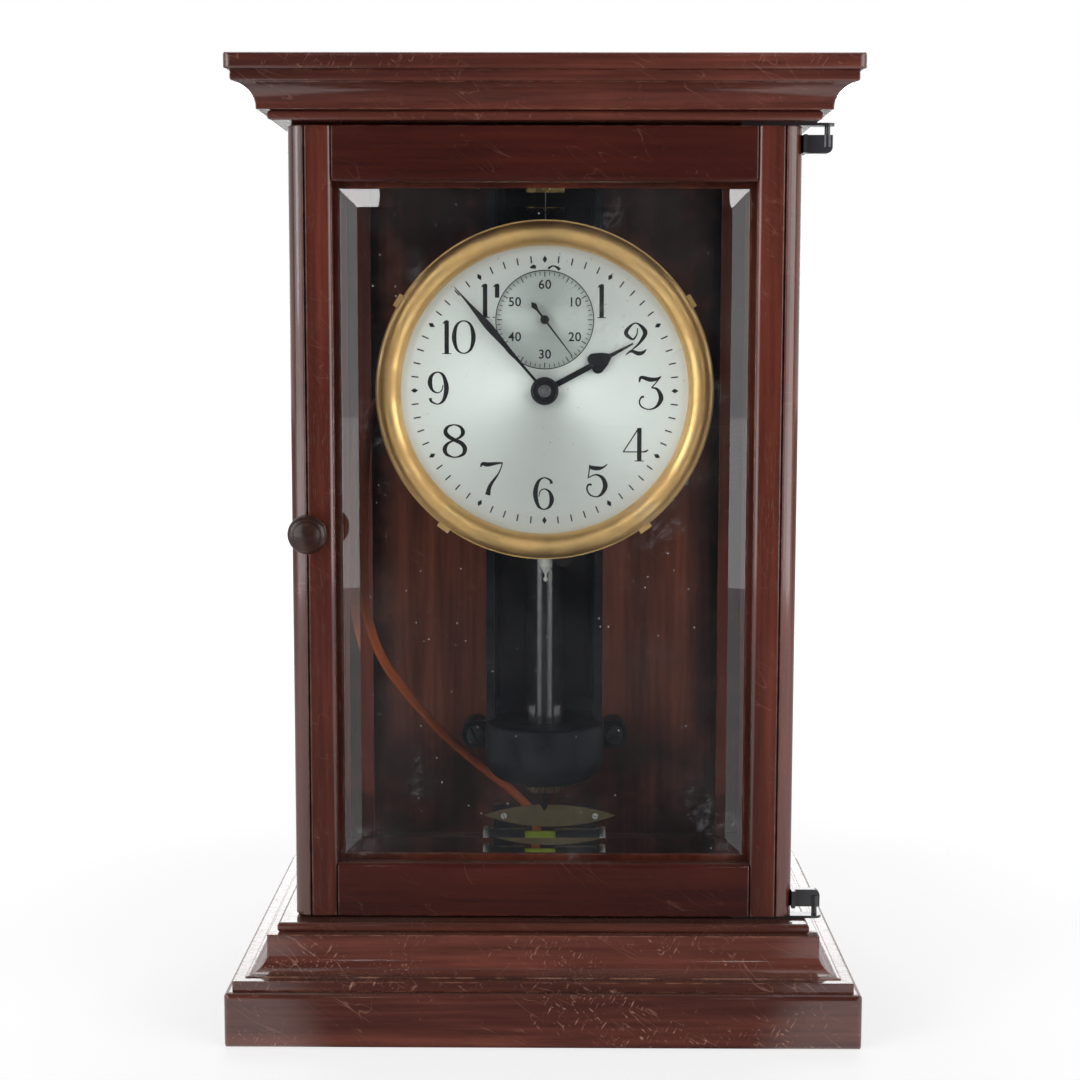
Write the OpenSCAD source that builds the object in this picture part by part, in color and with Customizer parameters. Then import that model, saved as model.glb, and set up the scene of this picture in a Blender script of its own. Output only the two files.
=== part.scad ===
// Four-glass mantel clock: a glazed mahogany case on a moulded base, with a bevelled door on
// offset pivots, and a battery-driven half-seconds pendulum movement on a cast-iron column.
// Millimetres, Z up, origin at the middle of the base's underside. The front faces -Y.

/* [Case] */
// Width of the case body, over the corner posts
case_w = 219; // [180:1:260]
// Depth of the case, from the door's front to the back of the posts
case_d = 165; // [159:1:200]
// Height of the case between floor board and top board
case_h = 345.6; // [337:0.1:400]
// Size of a corner post, both ways
post_w = 22; // [18:0.5:28]
// Height of the side rails
rail_h = 23; // [16:0.5:36]
// Thickness of the side rails
rail_t = 16; // [12:0.5:20]
// Thickness of the back board
back_t = 8; // [5:0.5:12]
// Distance of the back board in from the back of the posts
back_inset = 6.5; // [2:0.5:10]
// Thickness of the side glasses
glass_t = 3; // [2:0.5:4]
// Depth of the glass in its grooves
glass_in = 3; // [2:0.5:5]

/* [Base] */
// Height of the base slab
slab_h = 24; // [18:0.5:34]
// Overhang of the slab beyond the case
slab_over = 27.5; // [20:0.5:36]
// Rounding of the slab's edges
slab_r = 2.2; // [1:0.1:4]
// Height of the cove moulding, fillet included
cove_h = 20.8; // [17:0.1:28]
// Overhang of the fillet under the cove
fillet_over = 24; // [20:0.5:27]
// Height of that fillet
fillet_h = 4.4; // [2:0.1:7]
// Overhang of the cove's neck
neck_over = 10.8; // [8:0.1:13]
// Radius of the cove
cove_r = 8.6; // [5:0.1:11]
// Height of the floor board's visible step
floor_t = 4; // [3:0.1:8]
// Overhang of the floor board and the top board
step_over = 6.8; // [3:0.1:9.5]
// Width of the wall left round the hollow base
base_wall = 34; // [30:1:45]
// Thickness of the cover under the base
cover_t = 3; // [2:0.5:5]

/* [Cornice] */
// Height of the top board's visible step
top_t = 3.9; // [3:0.1:8]
// Height of the cornice moulding
crown_h = 15; // [13:0.1:22]
// Overhang of the cornice moulding at its foot
crown_foot = 10.8; // [9:0.1:13]
// Radius of its hollow
crown_r = 9.6; // [7:0.1:10]
// Overhang of the cornice moulding's upper member
crown_over = 20; // [17:0.1:21.5]
// Overhang of the cap
cap_over = 22.6; // [21.5:0.1:28]
// Height of the cap
cap_h = 6.7; // [5:0.1:12]

/* [Door] */
// Thickness of the door
door_t = 17; // [15:0.5:22]
// Gap between the door and the case
door_gap = 0.4; // [0.2:0.1:1]
// Width of the door's stiles
stile_w = 19.2; // [17:0.1:26]
// Height of the door's top and bottom rails
door_rail_h = 23.6; // [18:0.1:34]
// Radius of the stiles' rounded outer corners
stile_r = 7; // [4:0.1:9]
// Depth of the quirk beside the rounded corner
quirk = 0.9; // [0.4:0.1:1.5]
// Radius of the thumb moulding round the glass
thumb_r = 2.2; // [1.2:0.1:3]
// Thickness of the door glass
door_glass_t = 4; // [3:0.5:6]
// Width of the bevel ground on the glass
bevel_w = 13; // [8:0.5:18]
// Depth of the bevel at the glass edge
bevel_d = 2.2; // [1:0.1:2.6]
// Width of the rebate that holds the glass
rebate = 3; // [2:0.5:5]
// Diameter of the pull knob
knob_d = 17; // [12:0.5:19]
// Height of the pull knob above the case floor
knob_h = 171.2; // [80:0.1:260]
// Distance of the door catch below the top board
catch_drop = 96.8; // [60:0.1:130]

/* [Hinges] */
// Distance of the pivot out from the case side
pivot_out = 10.5; // [8.5:0.5:14]
// Diameter of the hinge pin
pin_d = 2.4; // [2:0.1:3.4]
// Radial clearance of pins and arbors in their holes
run_gap = 0.05; // [0.02:0.01:0.08]
// Thickness of the fixed hinge plates
plate_t = 1.2; // [1:0.1:2]
// Thickness of the door's hinge straps
strap_t = 1.6; // [1.2:0.1:2.2]
// Height of a hinge strap
strap_h = 7.7; // [6:0.1:12]
// Bare length of the pin between plate and strap
strap_gap = 3.4; // [2:0.1:6]

/* [Dial] */
// Distance of the dial's centre below the top board
dial_drop = 114.4; // [107:0.1:130]
// Outer radius of the bezel
bezel_r = 76.2; // [73:0.1:80]
// Width of the bezel's ring
bezel_w = 11.4; // [9:0.1:13]
// Depth of the bezel
bezel_t = 9; // [7:0.5:10]
// Thickness of the dial plate
dial_t = 1.5; // [1:0.1:2]
// Radius of the sunk seconds dial
seconds_r = 21.9; // [19:0.1:23]
// Height of the seconds arbor above the dial's centre
seconds_up = 31.8; // [29:0.1:33.5]
// Gap between the minute hand's tip and the bezel
minute_gap = 3.3; // [2:0.1:12]
// Length of the hour hand
hour_l = 45; // [36:0.5:50]
// Length of the seconds hand
second_l = 20.5; // [15:0.5:21]
// Thickness of the hands
hand_t = 0.6; // [0.4:0.1:0.8]

/* [Movement] */
// Thickness of the movement plates
mplate_t = 2; // [1.5:0.1:3]
// Half width of the movement plates
mplate_w = 40; // [36:0.5:44]
// Height of the movement plates above the dial's centre
mplate_up = 54; // [48:0.5:56]
// Depth of the movement plates below the dial's centre
mplate_down = 58; // [50:0.5:60]
// Room between the dial and the front plate
motion_gap = 6; // [5.6:0.1:8]
// Distance between the movement plates
pillar_l = 20; // [18:0.5:24]
// Radius of the plate pillars
pillar_r = 3; // [2:0.1:4]
// Gap between the back plate and the pendulum tube
train_gap = 14.5; // [13:0.1:17]
// Radius of the arbors
arbor_r = 1.5; // [1:0.1:1.8]
// Module of the going train
train_m = 0.5; // [0.48:0.005:0.52]
// Radius of the count wheel
count_r = 14; // [12:0.1:14.5]

/* [Column] */
// Outer width of the cast column
column_w = 55; // [50:0.5:62]
// Wall of the cast column
column_wall = 4; // [3:0.5:6]
// Length of the bosses behind the column
boss_l = 12.5; // [8:0.5:16]
// Radius of the bosses and lugs
lug_r = 7; // [5:0.5:8]
// Distance of the lugs from the middle
lug_x = 35; // [33:0.5:40]

/* [Pendulum] */
// Depth of the suspension pin below the top board
pivot_drop = 26.4; // [22:0.1:32]
// Radius of the pendulum tube
tube_r = 9; // [6:0.5:10]
// Radius of the bob
bob_r = 29; // [24:0.5:31]
// Height of the bob
bob_h = 29; // [22:0.5:34]
// Rounding of the bob's lower edge
bob_round = 12; // [6:0.5:16]
// Height of the bob's underside above the case floor
bob_up = 40.2; // [37:0.1:50]
// Gap between the bob and the column behind it
bob_gap = 4; // [3:0.5:6]
// Radius of the rating nut
nut_r = 9; // [6:0.5:12]
// Height of the rating nut
nut_h = 5; // [4:0.5:7]

/* [Level] */
// Length of the spirit level
level_l = 60; // [50:1:70]
// Radius of the spirit level's tube
level_r = 6.5; // [5:0.1:7]
// Height of the level's foot
level_foot = 2.2; // [1.5:0.1:4]
// Half length of the beat plate
beat_l = 32.4; // [28:0.1:36]
// Height of the beat plate
beat_h = 11; // [8:0.1:13]

/* [Lead] */
// Diameter of the cloth-covered lead
lead_d = 4.4; // [3:0.1:5]

/* [Hidden] */
round_fn = 64;
eps = 0.01;
seat = 0.1;

// Case levels and faces, from the driving sizes
case_hw = case_w / 2;
case_hd = case_d / 2;
z_cove = slab_h;
z_floor_low = slab_h + cove_h;
z_floor = z_floor_low + floor_t;
z_top = z_floor + case_h;
z_crown = z_top + top_t;
z_cap = z_crown + crown_h;
door_y = -case_hd;
door_back = door_y + door_t;
post_front = door_back + door_gap;
board_y = case_hd - back_inset - back_t;
post_in = case_hw - post_w;
core_t = 6;
lip_w = 6;
cover_up = 0.5;
screw_in = 4;
screw_r = 1.5;
hole_gap = 0.1;
base_hole_w = case_w + 2 * slab_over - 2 * (base_wall + 2 * lip_w);
base_hole_d = case_d + 2 * slab_over - 2 * (base_wall + 2 * lip_w);
cover_w = base_hole_w + 2 * (lip_w - seat);
cover_d = base_hole_d + 2 * (lip_w - seat);
battery_w = 67;
battery_d = 62;
battery_h = 22;
tab_up = 12;
tab_t = 0.4;

// Door levels and faces
plate_gap = 0.3;
door_z0 = z_floor + plate_t + plate_gap;
door_z1 = z_top - plate_t - plate_gap;
door_h = door_z1 - door_z0;
sight_hw = case_hw - stile_w;
sight_z0 = door_z0 + door_rail_h;
sight_z1 = door_z1 - door_rail_h;
glass_y = door_y + 6;
knob_x = -case_hw + 8.5;
knob_z = z_floor + knob_h;
pivot_x = case_hw + pivot_out;
pivot_y = door_y + 6;
catch_z = z_top - catch_drop;
catch_x = -case_hw + 9;
catch_r = 3;
strike_r = 4.9;
strike_t = 2.5;

// Column and pendulum
web_back = board_y - boss_l;
web_t = column_wall + 1;
web_front = web_back - web_t;
column_hw = column_w / 2;
pend_y = web_front - bob_gap - bob_r;
pivot_z = z_top - pivot_drop;
bob_z = z_floor + bob_up;
bob_top = bob_z + bob_h;
column_foot = bob_z + 3;
column_top = z_top - 9;
flange_foot = bob_top + 5;
window_h = 9;
tube_top = pivot_z - 24;
lug_low = bob_z + 15;
lug_high = column_top - lug_r;

// Dial, plates and arbors
dial_r = bezel_r - bezel_w;
minute_l = dial_r - minute_gap;
dial_z = z_top - dial_drop;
plate_z0 = dial_z - mplate_down;
train_y = pend_y - tube_r - train_gap;
back_plate_y = train_y - mplate_t;
front_plate_y = back_plate_y - pillar_l - mplate_t;
dial_y = front_plate_y - motion_gap - dial_t;
seconds_z = dial_z + seconds_up;
hand_y = dial_y - 1.6;
pivot_r = 0.9;
stud_r = 0.8;

// Gear counts and places of the going train and the motion work
pinion_n = 8;
inter_n = 60;
centre_n = 64;
cannon_n = 12;
mwheel_n = 36;
mpinion_n = 10;
hwheel_n = 40;
inter_a = train_m * (pinion_n + inter_n) / 2;
inter_b = train_m * (pinion_n + centre_n) / 2;
inter_up = (inter_b * inter_b - inter_a * inter_a + seconds_up * seconds_up) / (2 * seconds_up);
inter_x = sqrt(inter_b * inter_b - inter_up * inter_up);
inter_z = dial_z + inter_up;
motion_m = train_m;
motion_d = motion_m * (cannon_n + mwheel_n) / 2;
hour_m = 2 * motion_d / (mpinion_n + hwheel_n);
mesh_a = atan2(inter_up - seconds_up, inter_x);
mesh_b = atan2(-inter_up, -inter_x);

// The lead, from the terminals behind the bezel to the battery. Each place: across, depth behind the
// back plate, and height over the case floor as a share of the dial's height, or in mm below the floor
strip_end = -66.5;
lead_shape = [
    [strip_end, -3, 0.987], [-71, -3, 0.987], [-76.5, -4, 0.979], [-80.5, -6, 0.952], [-82, -9, 0.909],
    [-83, -12, 0.844], [-83.5, -14, 0.775], [-83.7, -14, 0.706], [-83.8, -13, 0.637], [-83.5, -9, 0.567],
    [-81.5, 0, 0.503], [-77, 13, 0.433], [-70, 28, 0.369], [-61, 43, 0.304], [-50, 55, 0.239],
    [-38, 63, 0.183], [-26, 67.5, 0.135], [-14, 69.5, 0.09], [-6, 70, 0.048], [-4, 70, 0.005],
    [-4, 69, -7.8], [-4, 66.5, -17.5], [-5, 61, -25.5], [-6.5, 53.5, -30], [-7, 46, -30.7]
];
lead_deep = (board_y - back_plate_y) / 76;
lead_route = [for (p = lead_shape)
    [p.x, back_plate_y + p.y * lead_deep, z_floor + (p.z > 0 ? p.z * (dial_z - z_floor) : p.z)]];
floor_pass = [lead_route[20].x, lead_route[20].y + 0.5];

// Rectangular body whose faces follow one profile on all four sides: two silhouettes crossed
module crossed(hw, hd) {
    intersection() {
        translate([0, hd + 60, 0]) rotate([90, 0, 0]) linear_extrude(2 * hd + 120) children(0);
        translate([-hw - 60, 0, 0]) rotate([90, 0, 90]) linear_extrude(2 * hw + 120) children(1);
    }
}

// A box given by two opposite corners
module block(a, b) {
    translate(a) cube(b - a);
}

// A cylinder along Y, from its back face towards the front
module rod_y(x, y, z, r, l) {
    translate([x, y, z]) rotate([90, 0, 0]) cylinder(h = l, r = r, $fn = round_fn);
}

// A flat outline in X and Z, from its back face towards the front
module flat_y(x, y, z, l) {
    translate([x, y, z]) rotate([90, 0, 0]) linear_extrude(l) children();
}

// A cylinder along X
module rod_x(x, y, z, r, l) {
    translate([x, y, z]) rotate([0, 90, 0]) cylinder(h = l, r = r, $fn = round_fn);
}

// An upright cylinder
module rod_z(x, y, z, r, h) {
    translate([x, y, z]) cylinder(h = h, r = r, $fn = round_fn);
}

// Silhouette of the slab, with rounded edges
module slab_side(h) {
    w = h + slab_over;
    r = slab_r;
    translate([-w + r, 0]) square([2 * (w - r), slab_h]);
    translate([-w, r]) square([2 * w, slab_h - 2 * r]);
    for (s = [-1, 1], z = [r, slab_h - r]) translate([s * (w - r), z]) circle(r = r, $fn = round_fn);
}

// Silhouette of the cove moulding: fillet, a low step, the hollow and the neck above it
module cove_side(h) {
    step = 0.4;
    z1 = z_cove + fillet_h - 1;
    w = h + neck_over + cove_r - 0.3;
    translate([-h - fillet_over, z_cove]) square([2 * (h + fillet_over), fillet_h]);
    translate([-h - neck_over, z1]) square([2 * (h + neck_over), cove_h - fillet_h + 1]);
    difference() {
        translate([-w, z1]) square([2 * w, 1 + step + cove_r]);
        for (s = [-1, 1]) translate([s * w, z1 + 1 + step + cove_r]) circle(r = cove_r, $fn = round_fn);
    }
}

// Silhouette of the cornice moulding
module crown_side(h) {
    foot = 0.9;
    lip = 4.6;
    w = h + crown_over;
    hollow = crown_h - lip - foot;
    translate([-h - crown_foot, z_crown]) square([2 * (h + crown_foot), foot + eps]);
    difference() {
        translate([-w + 2, z_crown + foot]) square([2 * (w - 2), hollow + eps]);
        for (s = [-1, 1]) {
            translate([s * (h + crown_foot + crown_r), z_crown + foot]) circle(r = crown_r, $fn = round_fn);
        }
    }
    translate([-w + 1.2, z_cap - lip]) square([2 * (w - 1.2), lip]);
    translate([-w, z_cap - lip + 1.2]) square([2 * w, lip - 1.2]);
    for (s = [-1, 1]) translate([s * (w - 1.2), z_cap - lip + 1.2]) circle(r = 1.2, $fn = round_fn);
}

// Silhouette of the cap
module cap_side(h) {
    w = h + cap_over;
    r = 1.4;
    translate([-w + r, z_cap]) square([2 * (w - r), cap_h]);
    translate([-w, z_cap + r]) square([2 * w, cap_h - 2 * r]);
    for (s = [-1, 1], z = [r, cap_h - r]) translate([s * (w - r), z_cap + z]) circle(r = r, $fn = round_fn);
}

// Silhouette of a thin board with its front edge rounded
module board_side(h, z, t) {
    w = h + step_over;
    r = min(t / 2 - eps, 1.4);
    translate([-w + r, z]) square([2 * (w - r), t]);
    translate([-w, z + r]) square([2 * w, t - 2 * r]);
    for (s = [-1, 1], q = [r, t - r]) translate([s * (w - r), z + q]) circle(r = r, $fn = round_fn);
}

// Rectangle with rounded corners
module rounded(w, h, r) {
    translate([-w / 2 + r, -h / 2]) square([w - 2 * r, h]);
    translate([-w / 2, -h / 2 + r]) square([w, h - 2 * r]);
    for (x = [-1, 1], y = [-1, 1]) {
        translate([x * (w / 2 - r), y * (h / 2 - r)]) circle(r = r, $fn = round_fn);
    }
}

// The hollow of the base, or the wider recess for its cover
module base_hollow(z, h, out) {
    translate([-base_hole_w / 2 - out, -base_hole_d / 2 - out, z])
        cube([base_hole_w + 2 * out, base_hole_d + 2 * out, h]);
}

module base_slab() {
    w = case_w + 2 * slab_over;
    d = case_d + 2 * slab_over;
    color("#7a3b22") difference() {
        intersection() {
            crossed(case_hw + slab_over, case_hd + slab_over) {
                slab_side(case_hw);
                slab_side(case_hd);
            }
            linear_extrude(slab_h) rounded(w, d, 3);
        }
        base_hollow(-1, slab_h + 2, 0);
        base_hollow(-1, 1 + cover_up + cover_t, lip_w);
    }
}

module base_cove() {
    color("#6e3520") difference() {
        crossed(case_hw + fillet_over, case_hd + fillet_over) {
            cove_side(case_hw);
            cove_side(case_hd);
        }
        base_hollow(z_cove - 1, cove_h + 2, 0);
    }
}

module floor_board() {
    color("#7a3b22") difference() {
        union() {
            crossed(case_hw + step_over, case_hd + step_over) {
                board_side(case_hw, z_floor_low, floor_t);
                board_side(case_hd, z_floor_low, floor_t);
            }
            base_hollow(z_floor_low - core_t, core_t + 1, -seat);
        }
        rod_z(floor_pass.x, floor_pass.y, z_floor_low - core_t - 1, lead_d / 2 + 1, core_t + floor_t + 2);
    }
}

// Places of the four screws in the base cover
cover_screws = [
    for (x = [-1, 1], y = [-1, 1]) [x * (cover_w / 2 - screw_in), y * (cover_d / 2 - screw_in)]
];

module base_cover() {
    color("#4a2a18") difference() {
        translate([-cover_w / 2, -cover_d / 2, cover_up]) cube([cover_w, cover_d, cover_t]);
        for (p = cover_screws) rod_z(p.x, p.y, 0, screw_r + hole_gap, cover_t + 1);
    }
}

// Flat dry battery with two strip contacts at its back
module dry_battery() {
    z = cover_up + cover_t;
    color("#35465c") translate([-battery_w / 2, -battery_d / 2, z]) cube([battery_w, battery_d, battery_h]);
    color("goldenrod") for (x = [-14, -6]) {
        translate([x, battery_d / 2, z + tab_up]) cube([6, 14, tab_t]);
        translate([x, battery_d / 2 - eps, z + tab_up]) cube([6, tab_t, 5]);
    }
}

module corner_posts() {
    color("#6e3520") for (s = [-1, 1]) {
        difference() {
            union() {
                block([min(s * case_hw, s * post_in), post_front, z_floor],
                      [max(s * case_hw, s * post_in), post_front + post_w, z_top]);
                block([min(s * case_hw, s * post_in), case_hd - post_w, z_floor],
                      [max(s * case_hw, s * post_in), case_hd, z_top]);
            }
            glass_slot(s);
            if (s < 0) {
                rod_y(catch_x, post_front + strike_t + hole_gap, catch_z, strike_r + hole_gap, strike_t + 1);
            }
        }
    }
}

// Place of a side glass: middle of its thickness
side_glass_x = case_hw - rail_t / 2;
module glass_slot(s) {
    t = glass_t + 2 * seat;
    translate([s * side_glass_x - t / 2, post_front + post_w - glass_in, z_floor + rail_h - glass_in])
        cube([t, case_hd - post_front - 2 * post_w + 2 * glass_in, case_h - 2 * rail_h + 2 * glass_in]);
}

module side_rails() {
    y0 = post_front + post_w;
    y1 = case_hd - post_w;
    color("#7a3b22") for (s = [-1, 1]) difference() {
        union() {
            for (z = [z_floor, z_top - rail_h]) {
                translate([s * side_glass_x - rail_t / 2, y0, z]) cube([rail_t, y1 - y0, rail_h]);
            }
        }
        glass_slot(s);
    }
}

module side_glass(s) {
    in = glass_in - seat;
    y0 = post_front + post_w - in;
    y1 = case_hd - post_w + in;
    z0 = z_floor + rail_h - in;
    color("#dfe9ec", 0.4) translate([s * side_glass_x - glass_t / 2, y0, z0])
        cube([glass_t, y1 - y0, case_h - 2 * rail_h + 2 * in]);
}

module side_glass_left() side_glass(-1);
module side_glass_right() side_glass(1);

module back_board() {
    color("#8a4a2c") difference() {
        block([-post_in, board_y, z_floor], [post_in, board_y + back_t, z_top]);
        for (x = [-lug_x, lug_x], z = [lug_low, lug_high]) {
            rod_y(x, board_y + back_t + 1, z, screw_r + hole_gap, back_t + 2);
        }
    }
}

module top_board() {
    color("#7a3b22") crossed(case_hw + step_over, case_hd + step_over) {
        board_side(case_hw, z_top, top_t);
        board_side(case_hd, z_top, top_t);
    }
}

module cornice_moulding() {
    color("#6e3520") difference() {
        crossed(case_hw + crown_over, case_hd + crown_over) {
            crown_side(case_hw);
            crown_side(case_hd);
        }
        block([-post_in, -case_hd + post_w, z_crown - 1], [post_in, case_hd - post_w, z_cap + 1]);
    }
}

module cornice_cap() {
    w = case_w + 2 * cap_over;
    d = case_d + 2 * cap_over;
    color("#7a3b22") intersection() {
        crossed(case_hw + cap_over, case_hd + cap_over) {
            cap_side(case_hw);
            cap_side(case_hd);
        }
        translate([0, 0, z_cap - 1]) linear_extrude(cap_h + 2) rounded(w, d, 3);
    }
}

// Outline of a fixed hinge plate, seen from above
module hinge_plate_outline() {
    end_r = 3;
    plate_in = 26;
    difference() {
        union() {
            translate([case_hw - plate_in, pivot_y - end_r]) square([plate_in + pivot_out, 2 * end_r]);
            translate([pivot_x, pivot_y]) circle(r = end_r, $fn = round_fn);
        }
        translate([pivot_x, pivot_y]) circle(r = pin_d / 2 + run_gap, $fn = round_fn);
    }
}

module hinge_plates() {
    color("#3a3a3c") for (z = [z_floor, z_top - plate_t]) {
        translate([0, 0, z]) linear_extrude(plate_t) hinge_plate_outline();
    }
}

// Strap on the door's edge, with its barrel and its pin. Its outer corner away from the plate is round
module hinge_strap(upper) {
    z0 = upper ? door_z1 - strap_gap - strap_h : door_z0 + strap_gap;
    pin_l = plate_t + plate_gap + strap_gap + strap_h - 0.2;
    barrel_r = pin_d / 2 + 1;
    arm_t = 3;
    corner = 2.6;
    w = pivot_x + barrel_r - case_hw;
    block([case_hw, door_y + 1.5, z0], [case_hw + strap_t, door_back - 3, z0 + strap_h]);
    flat_y(case_hw, pivot_y + arm_t / 2, z0, arm_t) {
        translate([0, upper ? corner : 0]) square([w, strap_h - corner]);
        translate([0, upper ? 0 : corner]) square([w - corner, strap_h - corner]);
        translate([w - corner, upper ? corner : strap_h - corner]) circle(r = corner, $fn = round_fn);
    }
    rod_z(pivot_x, pivot_y, upper ? z0 + corner : z0, barrel_r, strap_h - corner);
    rod_z(pivot_x, pivot_y, upper ? z0 + 1 : z_floor + 0.2, pin_d / 2, pin_l - 1);
}

module hinge_straps() {
    color("#26262a") {
        hinge_strap(true);
        hinge_strap(false);
    }
}

module strike_plate() {
    color("goldenrod") difference() {
        rod_y(catch_x, post_front + strike_t, catch_z, strike_r, strike_t);
        rod_y(catch_x, post_front + strike_t + 1, catch_z, catch_r, strike_t + 2);
    }
}

module fixing_screws() {
    head_t = 1.4;
    boss_t = 2.2;
    color("#b08d3c") {
        for (p = cover_screws) rod_z(p.x, p.y, cover_up, screw_r, cover_t);
        for (x = [-lug_x, lug_x], z = [lug_low, lug_high]) {
            rod_y(x, board_y + back_t, z, screw_r, back_t + boss_l - 1);
            rod_y(x, board_y + back_t + head_t, z, 3.4, head_t);
        }
    }
    color("#26262a") for (x = [-lug_x, lug_x], z = [lug_low, lug_high]) {
        difference() {
            rod_y(x, web_front, z, 4.6, boss_t);
            block([x - 0.5, web_front - boss_t - 1, z - 5], [x + 0.5, web_front - boss_t + 0.8, z + 5]);
        }
    }
}

// Section of a door stile seen from above; the outer side is +X
module stile_section() {
    r = stile_r;
    q = quirk;
    t = thumb_r;
    difference() {
        union() {
            translate([0, t]) square([stile_w, door_t - t]);
            translate([t, 0]) square([stile_w - t - r - q, door_t]);
            translate([t, t]) circle(r = t, $fn = round_fn);
        }
        translate([stile_w - r, -1]) square([r + 1, r + 1]);
        translate([-1, glass_y - door_y]) square([rebate + 1, door_t]);
        translate([stile_w - r - q, -1]) square([q + eps, q + 1]);
    }
    intersection() {
        translate([stile_w - r, r]) circle(r = r, $fn = round_fn);
        translate([stile_w - r, 0]) square([r, r + 1]);
    }
}

// Section of a door rail seen from its end; the glass side is +X
module rail_section() {
    t = thumb_r;
    w = door_rail_h;
    difference() {
        union() {
            square([w - t, door_t]);
            translate([0, t]) square([w, door_t - t]);
            translate([w - t, t]) circle(r = t, $fn = round_fn);
        }
        translate([w - rebate, glass_y - door_y]) square([rebate + 1, door_t]);
    }
}

module door_stile(s) {
    translate([s * sight_hw, door_y, door_z0]) {
        if (s > 0) linear_extrude(door_h) stile_section();
        else mirror([1, 0, 0]) linear_extrude(door_h) stile_section();
    }
}

module door_stile_left() {
    color("#7a3b22") difference() {
        door_stile(-1);
        rod_y(catch_x, door_back + 1, catch_z, catch_r + 1 + run_gap, 11);
    }
}

module door_stile_right() {
    color("#7a3b22") door_stile(1);
}

module door_rail(upper) {
    z = upper ? door_z1 : door_z0;
    translate([sight_hw, door_y, z]) rotate([0, upper ? 90 : -90, 0]) {
        if (upper) translate([0, 0, -2 * sight_hw]) linear_extrude(2 * sight_hw) rail_section();
        else linear_extrude(2 * sight_hw) rail_section();
    }
}

module door_rail_top() {
    color("#743820") door_rail(true);
}

module door_rail_bottom() {
    color("#743820") door_rail(false);
}

module door_glass() {
    hw = sight_hw + rebate - seat;
    z0 = sight_z0 - rebate + seat;
    z1 = sight_z1 + rebate - seat;
    h = z1 - z0;
    t = door_glass_t;
    color("#dfe9ec", 0.4) intersection() {
        translate([0, 0, z0]) linear_extrude(h) polygon([
            [-hw, glass_y + bevel_d], [-hw + bevel_w, glass_y], [hw - bevel_w, glass_y],
            [hw, glass_y + bevel_d], [hw, glass_y + t], [-hw, glass_y + t]]);
        translate([-hw, 0, 0]) rotate([90, 0, 90]) linear_extrude(2 * hw) polygon([
            [glass_y + bevel_d, z0], [glass_y, z0 + bevel_w], [glass_y, z1 - bevel_w],
            [glass_y + bevel_d, z1], [glass_y + t, z1], [glass_y + t, z0]]);
    }
}

module glazing_beads() {
    y0 = glass_y + door_glass_t;
    y1 = door_back - 0.6;
    hw = sight_hw + rebate - seat;
    z0 = sight_z0 - rebate + seat;
    z1 = sight_z1 + rebate - seat;
    w = 5;
    color("#5c2c1a") {
        for (s = [-1, 1]) {
            translate([s * (hw - w / 2), (y0 + y1) / 2, z0]) linear_extrude(z1 - z0) {
                bead_outline(w, y1 - y0, s);
            }
        }
        for (s = [-1, 1]) {
            zc = s < 0 ? z0 + w / 2 : z1 - w / 2;
            translate([-hw + w + seat, (y0 + y1) / 2, zc]) rotate([90, 0, 90]) {
                linear_extrude(2 * (hw - w - seat)) mirror([1, -1]) bead_outline(w, y1 - y0, s);
            }
        }
    }
}

// Bead section: square at the rebate, rounded towards the inside of the case
module bead_outline(w, t, s) {
    r = 2.2;
    difference() {
        square([w, t], center = true);
        translate([-s * (w / 2 - r), t / 2 - r]) difference() {
            translate([s > 0 ? -r - 1 : 0, 0]) square(r + 1);
            circle(r = r, $fn = round_fn);
        }
    }
}

module door_knob() {
    r = knob_d / 2;
    color("#2a1710") translate([knob_x, door_y, knob_z]) rotate([90, 0, 0]) rotate_extrude($fn = round_fn) {
        difference() {
            union() {
                square([r * 0.72, 1.6]);
                square([r * 0.42, 9]);
                translate([0, 6]) square([r - 3, 6]);
                translate([r - 3, 9]) circle(r = 3, $fn = round_fn);
                intersection() {
                    translate([0, 12 - 14]) circle(r = 16, $fn = round_fn);
                    translate([0, 10]) square([r - 3, 6]);
                }
            }
            translate([-30, -5]) square([30, 30]);
        }
    }
}

module catch_barrel() {
    color("goldenrod") difference() {
        rod_y(catch_x, door_back, catch_z, catch_r + 1, 9.6);
        rod_y(catch_x, door_back + 1, catch_z, catch_r - 0.6, 10);
    }
}

module catch_bolt() {
    r = catch_r - 0.6 - run_gap;
    color("silver") translate([catch_x, door_back - 5, catch_z]) rotate([-90, 0, 0]) {
        rotate_extrude($fn = round_fn) intersection() {
            union() {
                square([r, 4.4]);
                translate([0, 4.4]) circle(r = r, $fn = round_fn);
            }
            square([r, 12]);
        }
    }
}

module column() {
    fy = train_y;
    ch = column_hw - column_wall;
    color("#1f2124") difference() {
        union() {
            translate([0, 0, flange_foot]) linear_extrude(column_top - flange_foot) difference() {
                block_2d([-column_hw, fy], [column_hw, web_back]);
                block_2d([-ch, fy - 1], [ch, web_front - 4]);
                block_2d([-ch + 4, fy - 1], [ch - 4, web_front]);
                for (s = [-1, 1]) translate([s * (ch - 4), web_front - 4]) circle(r = 4, $fn = round_fn);
            }
            block([-column_hw, web_front, column_foot], [column_hw, web_back, flange_foot]);
            for (x = [-lug_x, lug_x], z = [lug_low, lug_high]) {
                rod_y(x, board_y, z, lug_r, boss_l + web_t);
                block([min(x, 0), web_front, z - lug_r], [max(x, 0), web_back, z + lug_r]);
            }
        }
        for (x = [-lug_x, lug_x], z = [lug_low, lug_high]) {
            rod_y(x, board_y + 1, z, screw_r + hole_gap, boss_l + 0.5);
        }
        block([ch - 1, pend_y - 14, gravity_z - window_h],
              [column_hw + 1, pend_y + 14, gravity_z + window_h]);
    }
}

// A rectangle given by two opposite corners
module block_2d(a, b) {
    translate(a) square(b - a);
}

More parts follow.
